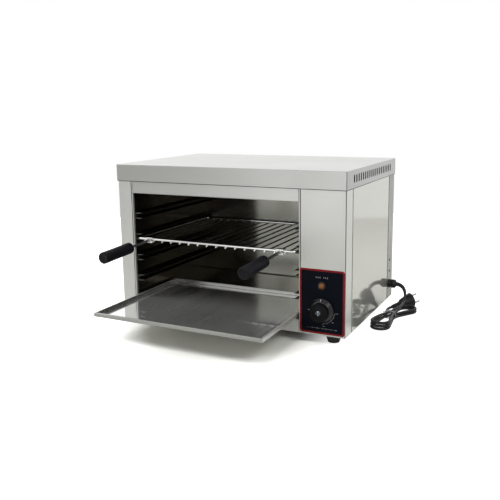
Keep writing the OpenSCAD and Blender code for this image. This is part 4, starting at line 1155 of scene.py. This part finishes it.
def shrunk(outline, inset):
    centre = Vector((sum(p[0] for p in outline), sum(p[1] for p in outline))) / len(outline)
    spokes = [Vector(p) - centre for p in outline]
    return [tuple(centre + d * (1 - inset / d.length)) for d in spokes]


def make_label():
    outer, chamfer, inner = label_outline(0, 5.5), label_outline(0.2, 5.3), label_outline(4.2, 3.2)
    rings = [(BODY_Y, outer), (LABEL_Y + 0.2, outer), (LABEL_Y - 0.02, chamfer),
             (LABEL_Y - 0.02, inner), (BODY_Y, inner)]
    verts = [at(x, y, z) for y, shape in rings for x, z in shape]
    edge = object_from("label_edge", verts, loft_faces(len(rings), len(outer), closed=True))
    finish_piece(edge, "red", ("label_border",), 30)
    bevel = 0.05
    field = extruded("label_field", [(BODY_Y, inner), (LABEL_Y + bevel, inner),
                                     (LABEL_Y, shrunk(inner, bevel))], "y")
    finish_piece(field, "navy", ("control_label",), 30)


def stroke(points, width):
    """A printed line of the label, a thin raised strip in the front plane, in mm."""
    left, right = offset_line(points, width / 2), offset_line(points, -width / 2)
    outline = left + right[::-1]
    n = len(outline)
    verts = [at(x, y, z) for y in (LABEL_Y + 0.02, PRINT_Y) for x, z in outline]
    faces = loft_faces(2, n, caps=False)
    for a in range(len(left) - 1):
        b = n - 1 - a
        faces += [(a, a + 1, b - 1, b), (n + a, n + b, n + b - 1, n + a + 1)]
    return object_from("stroke", verts, faces)


def numerals(text, x, z, size):
    """Plain numbers, set in the front plane with their middle at x and z."""
    curve = bpy.data.curves.new("numerals", "FONT")
    curve.body = text
    curve.size = size * MM
    curve.extrude = 0.03 * MM
    curve.align_x = "CENTER"
    curve.align_y = "CENTER"
    source = new_object("numerals", curve)
    mesh = evaluated_mesh(source)
    bpy.data.objects.remove(source)
    mesh.transform(Matrix.Translation(at(x, PRINT_Y, z)) @ Matrix.Rotation(math.pi / 2, 4, "X"))
    return new_object("numerals", mesh)


def polar(r, degrees):
    """A point on the dial, degrees clockwise from the top."""
    a = math.radians(degrees)
    return COLUMN_X + r * math.sin(a), KNOB_Z + r * math.cos(a)


def make_print():
    # scale on the lower right of the dial: an arc with long and short ticks, and numbers
    r_arc = 29.2
    first, span, steps = 96, 80, 24
    scale = [polar(r_arc, first + span * i / steps) for i in range(steps + 1)]
    marks = [stroke(scale, 0.55)]
    for a, tick in ((96, 2.6), (116, 1.6), (136, 2.6), (156, 1.6), (176, 2.6)):
        marks.append(stroke([polar(r_arc, a), polar(r_arc + tick, a)], 0.5))
    for text, a in (("100", 95), ("200", 134), ("300", 173)):
        marks.append(numerals(text, *polar(r_arc + 5.4, a), 3.0))
    marks.append(stroke([polar(28.6, 268), polar(31.4, 268)], 1.4))
    # a row of rising waves above the lamp, the usual sign for heat
    for k in (-3, -2, -1, 1, 2, 3):
        wave = [(COLUMN_X + k * 4.2 + 0.7 * math.sin(t / 12 * 2 * math.pi),
                 LAMP_Z + 16.4 + 3.4 * t / 12) for t in range(13)]
        marks.append(stroke(wave, 0.9))
    # a row of plain temperatures under the knob, with dashes between them
    row_z, pitch, dash = KNOB_Z - 40.0, 10.6, 1.1
    for k in range(7):
        x = COLUMN_X + (k - 3) * pitch
        marks.append(numerals(str(50 * k), x, row_z, 3.3))
        if k < 6:
            between = x + pitch / 2 + (1.0 if k == 0 else 0)
            marks.append(stroke([(between - dash, row_z), (between + dash, row_z)], 0.7))
    finish_piece(joined("label_print", marks), "print", (), 30)


# ---- Lamp ----

def make_lamp():
    origin = at(COLUMN_X, LABEL_Y, LAMP_Z)
    ring_r, lens_r = middle("lamp_holder")[1], middle("lamp_lens")[1] - 1.2
    bezel = lathe("bezel", [(5.5, -4), (6.3, -4), (6.3, 0), (ring_r, 0), (ring_r, 0.9),
                            (ring_r - 0.3, 1.5), (ring_r - 0.9, 1.95), (lens_r + 0.1, 2.0),
                            (lens_r + 0.1, 0.6), (5.5, 0.6)], origin, AHEAD, 64)
    finish_piece(bezel, "black", ("lamp_holder",), 40)
    edge, rise = 2.8, 3.6
    lens = lathe("lamp_cap", [(0, 0.7), (lens_r, 0.7), (lens_r, edge),
                              *sweep(0, edge, lens_r, rise, (15, 30, 45, 60, 75)),
                              (0, edge + rise)], origin, AHEAD, 48)

    def facets(r, along, angle):
        return flute(angle, 12, 0.035, 1) if r > 1.5 and along < -2.5 else 1

    scale_round(lens, origin, Y, facets)
    finish_piece(lens, "lens", ("lamp_lens",), 60)


# ---- Knob ----

FLUTES = 40
BADGE_BARS = (COLUMN_X - 2.6, COLUMN_X + 2.6)
KNOB_FRONT, KNOB_BACK = (corner[1] for corner in mm_box("knob_body"))
KNOB_R, SKIRT_R = middle("knob_body")[1], middle("knob_skirt")[1]
CONE_R = KNOB_R + 1.9
# Distances from the label to the fronts of the knob and of its skirt
REACH, SKIRT_REACH = KNOB_BACK - KNOB_FRONT, KNOB_BACK - mm_box("knob_skirt")[0][1]
KNOB_AT = at(COLUMN_X, KNOB_BACK, KNOB_Z)


def make_skirt():
    skirt = lathe("knob_flange", [(14.5, 0), (SKIRT_R - 0.6, 0), (SKIRT_R, 0.5), (SKIRT_R, 1.7),
                                  (SKIRT_R - 0.35, 2.3), (SKIRT_R - 1.0, 2.9),
                                  (CONE_R, SKIRT_REACH - 0.9), (KNOB_R + 1.2, SKIRT_REACH - 0.3),
                                  (KNOB_R + 0.5, SKIRT_REACH), (14.5, SKIRT_REACH)],
                  KNOB_AT, AHEAD, 128)
    finish_piece(skirt, "knob_gloss", ("knob_skirt",), 35, "knob")


def make_knob():
    body = lathe("knob_grip", [(13, 0), (14.4, 0), (14.4, SKIRT_REACH - 0.2),
                               (KNOB_R, SKIRT_REACH - 0.2), (KNOB_R, REACH - 1.8),
                               *sweep(KNOB_R - 1.6, REACH - 1.6, 1.6, 1.6, (20, 45, 70, 90)),
                               (KNOB_R - 3.0, REACH), (KNOB_R - 3.4, REACH - 0.4),
                               (8.6, REACH - 0.4), (8.2, REACH - 0.1), (5.6, REACH - 0.1),
                               (0, REACH - 0.1)], KNOB_AT, AHEAD, FLUTES * 4)

    def flutes(r, along, angle):
        return flute(angle, FLUTES, 0.018) if r > KNOB_R - 1.0 and -along > SKIRT_REACH else 1

    scale_round(body, KNOB_AT, Y, flutes)
    finish_piece(body, "knob_matte", ("knob_body",), 40, "knob")


def make_pointer():
    """A pale line down the cone at the top of the dial."""
    start = Vector((COLUMN_X, KNOB_BACK - 2.9, KNOB_Z + SKIRT_R - 1.0))
    end = Vector((COLUMN_X, KNOB_BACK - SKIRT_REACH + 0.9, KNOB_Z + CONE_R))
    normal = Vector((0, end.z - start.z, start.y - end.y)).normalized()
    half, sunk, proud = 0.75, -0.2, 0.12
    verts = []
    for p in (start.lerp(end, 0.12), end.lerp(start, 0.08)):
        for dx, lift in ((-half, sunk), (-half, proud), (half, proud), (half, sunk)):
            q = p + normal * lift
            verts.append(at(q.x + dx, q.y, q.z))
    pointer = object_from("knob_pointer", verts, loft_faces(2, 4))
    finish_piece(pointer, "print", (), 30, "knob")


def make_badge():
    (_, front, _), (_, seat, _) = mm_box("knob_cap")
    cap_r = middle("knob_cap")[1]
    cap = lathe("knob_badge", [(0, -0.1), (cap_r, -0.1), (cap_r, 0.7), (cap_r - 0.2, 1.05),
                               (cap_r - 0.6, 1.2), (0, 1.2)], at(COLUMN_X, seat, KNOB_Z), AHEAD, 64)
    cut(cap, [block("bar", (x - 1.1, front - 0.6, KNOB_Z - 4.0), (x + 1.1, front + 0.6, KNOB_Z + 4.0))
              for x in BADGE_BARS])
    finish_piece(cap, "badge", ("knob_cap",), 35, "knob")
    # painted shade: the floor of each bar recess is black
    bar_shades = [block("bar_shade", (x - 1.08, front + 0.4, KNOB_Z - 3.98),
                    (x + 1.08, front + 0.9, KNOB_Z + 3.98)) for x in BADGE_BARS]
    finish_piece(joined("knob_badge_bar_shade", bar_shades), "black", (), 30, "knob")


# ---- Feet ----

def make_feet():
    for node in ("foot_front_left", "foot_front_right", "foot_rear_left", "foot_rear_right"):
        (x, y, _), top = middle(node)
        base, h = 13.0, mm_box(node)[1][2]
        profile = [(0, 3.0), (6.4, 3.0), (6.6, 0.6), (7.2, 0.0), (base - 1.2, 0.0),
                   (base - 0.4, 0.3), (base, 1.1), (base + 0.7, 3.4), (base + 0.3, 3.9),
                   (base + 1.0, 4.6), (top - 0.5, h - 4.2), (top, h - 3.0), (top, h - 1.2),
                   (top - 0.4, h - 0.4), (top - 1.2, h), (0, h)]
        foot = lathe(node + "_pad", profile, at(x, y, 0), UP, 72)
        finish_piece(foot, "rubber", (node,), 45)


# ---- Carried-over CAD nodes ----

NODE_MATERIALS = {
    # the side liners take a darker steel than the back liner, painted shade
    "base_pan": "satin_x", "left_liner": "dark_liner", "right_liner": "dark_liner",
    "back_liner": "liner", "cavity_floor": "cavity_floor", "cavity_roof": "liner",
    "element_front": "sheath", "element_middle": "sheath", "element_rear": "sheath",
    "element_hangers": "satin_z", "element_bushes": "ceramic", "thermostat_body": "ceramic",
    "thermostat_shaft": "plated", "thermostat_nut": "plated", "thermostat_bulb": "copper",
    "bulb_clips": "satin_y", "terminal_block": "ceramic", "wiring_loom": "insulation",
    "earth_stud": "brass", "gland_locknut": "black", "foot_screws": "screw",
}


def dress_nodes():
    for name, material in NODE_MATERIALS.items():
        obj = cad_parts[name]
        obj.data.materials.clear()
        obj.data.materials.append(MATERIALS[material])


# ---- Floor, light and world ----

WHITE = (1, 1, 1, 1)
FLOOR_COLOR = (0.86, 0.86, 0.815, 1)
FLOOR_R, FLOOR_MID = 1.6, 0.10
SHADE_MID = (0.0, -0.10, 0.0)
DARK_LEVEL = 0.05
# Soft boxes that gloss alone sees: direction, the angles of the full and of the outer edge in
# degrees, and how far each is brighter than white
SOFT_BOXES = [
    ((-0.77, -0.32, 0.55), 8, 20, 3.5),
    ((0.61, -0.51, 0.61), 8, 20, 3.5),
    ((-0.19, -0.98, 0.0), 7, 25, 2.6),
    ((-0.35, 0.85, 0.38), 12, 45, 0.25),
]
DOME = 0.28
# Lamps: name, place, width and depth, and power in watts
LAMPS = [
    ("left_box", (-1.5, -0.6, 1.15), (0.6, 0.6), 18),
    ("right_box", (1.3, -0.6, 1.45), (0.6, 0.6), 10),
    ("top_box", (0.0, -0.4, 2.0), (0.8, 0.6), 12),
]
LAMP_TARGET = Vector((0, 0, 0.1))


def make_floor():
    """A pale plain floor. Away from the object the camera sees it as plain white."""
    bm = bmesh.new()
    bmesh.ops.create_circle(bm, cap_ends=True, cap_tris=False, segments=96, radius=FLOOR_R)
    floor = from_bmesh("floor", bm)
    floor.location = (0, FLOOR_MID, -0.0002)
    material, tree, shader = new_material("floor")
    place = add_node(tree, "NewGeometry").outputs["Position"]
    distance = add_node(tree, "VectorMath", {0: place, 1: SHADE_MID}, operation="DISTANCE")
    far = smooth_step(tree, distance.outputs["Value"], 0.165, 0.30)
    split = add_node(tree, "SeparateXYZ", {0: place})
    behind = remap(tree, split.outputs["Y"], 0.0, 0.32, -0.6, 0.0)
    path = add_node(tree, "LightPath")
    mirrored = combine(tree, "MULTIPLY", behind, path.outputs["Is Glossy Ray"])
    seen = combine(tree, "MAXIMUM", path.outputs["Is Camera Ray"], mirrored)
    connect(tree, shader, {"Base Color": FLOOR_COLOR, "Roughness": 0.9, "Specular IOR Level": 0.0,
                           "Emission Color": WHITE,
                           "Emission Strength": combine(tree, "MULTIPLY", far, seen)})
    floor.data.materials.append(material)


def make_world():
    """White all round. Gloss alone also sees a dark room floor in front, beyond the table."""
    world = bpy.data.worlds.new("world")
    bpy.context.scene.world = world
    world.use_nodes = True
    tree = world.node_tree
    toward = add_node(tree, "TexCoord").outputs["Generated"]
    split = add_node(tree, "SeparateXYZ", {0: toward})
    ahead = smooth_step(tree, split.outputs["Y"], -0.30, -0.65)
    below = smooth_step(tree, split.outputs["Z"], 0.03, -0.09)
    gloss = mix(tree, combine(tree, "MULTIPLY", ahead, below), 1.0, DARK_LEVEL)
    for direction, narrow, wide, strength in SOFT_BOXES:
        dot = add_node(tree, "VectorMath", {0: toward, 1: Vector(direction).normalized()},
                       operation="DOT_PRODUCT")
        box = smooth_step(tree, dot.outputs["Value"], math.cos(math.radians(wide)),
                          math.cos(math.radians(narrow)))
        gloss = combine(tree, "MULTIPLY_ADD", box, strength, gloss)
    path = add_node(tree, "LightPath")
    lighting = mix(tree, path.outputs["Is Glossy Ray"], DOME, gloss)
    seen = combine(tree, "MAXIMUM", path.outputs["Is Camera Ray"],
                   path.outputs["Is Transmission Ray"])
    connect(tree, tree.nodes["Background"], {"Strength": mix(tree, seen, lighting, 1.0),
                                             "Color": WHITE})


def make_lamps():
    for name, place, size, power in LAMPS:
        data = bpy.data.lights.new(name, "AREA")
        data.shape = "RECTANGLE"
        data.size, data.size_y = size
        data.energy = power
        light = new_object(name, data)
        light.location = place
        light.rotation_euler = (LAMP_TARGET - Vector(place)).to_track_quat("-Z", "Y").to_euler()
        light.visible_glossy = False


for make in (make_cover, make_shade_strips, make_front, make_sides, make_back, make_screws, make_guides,
             make_liner_edges, make_tray, make_rack, make_handles, make_label, make_print,
             make_lamp, make_skirt, make_knob, make_pointer, make_badge, make_feet, dress_nodes,
             make_floor, make_world, make_lamps):
    make()

scene = bpy.context.scene
scene.view_settings.view_transform = "Standard"
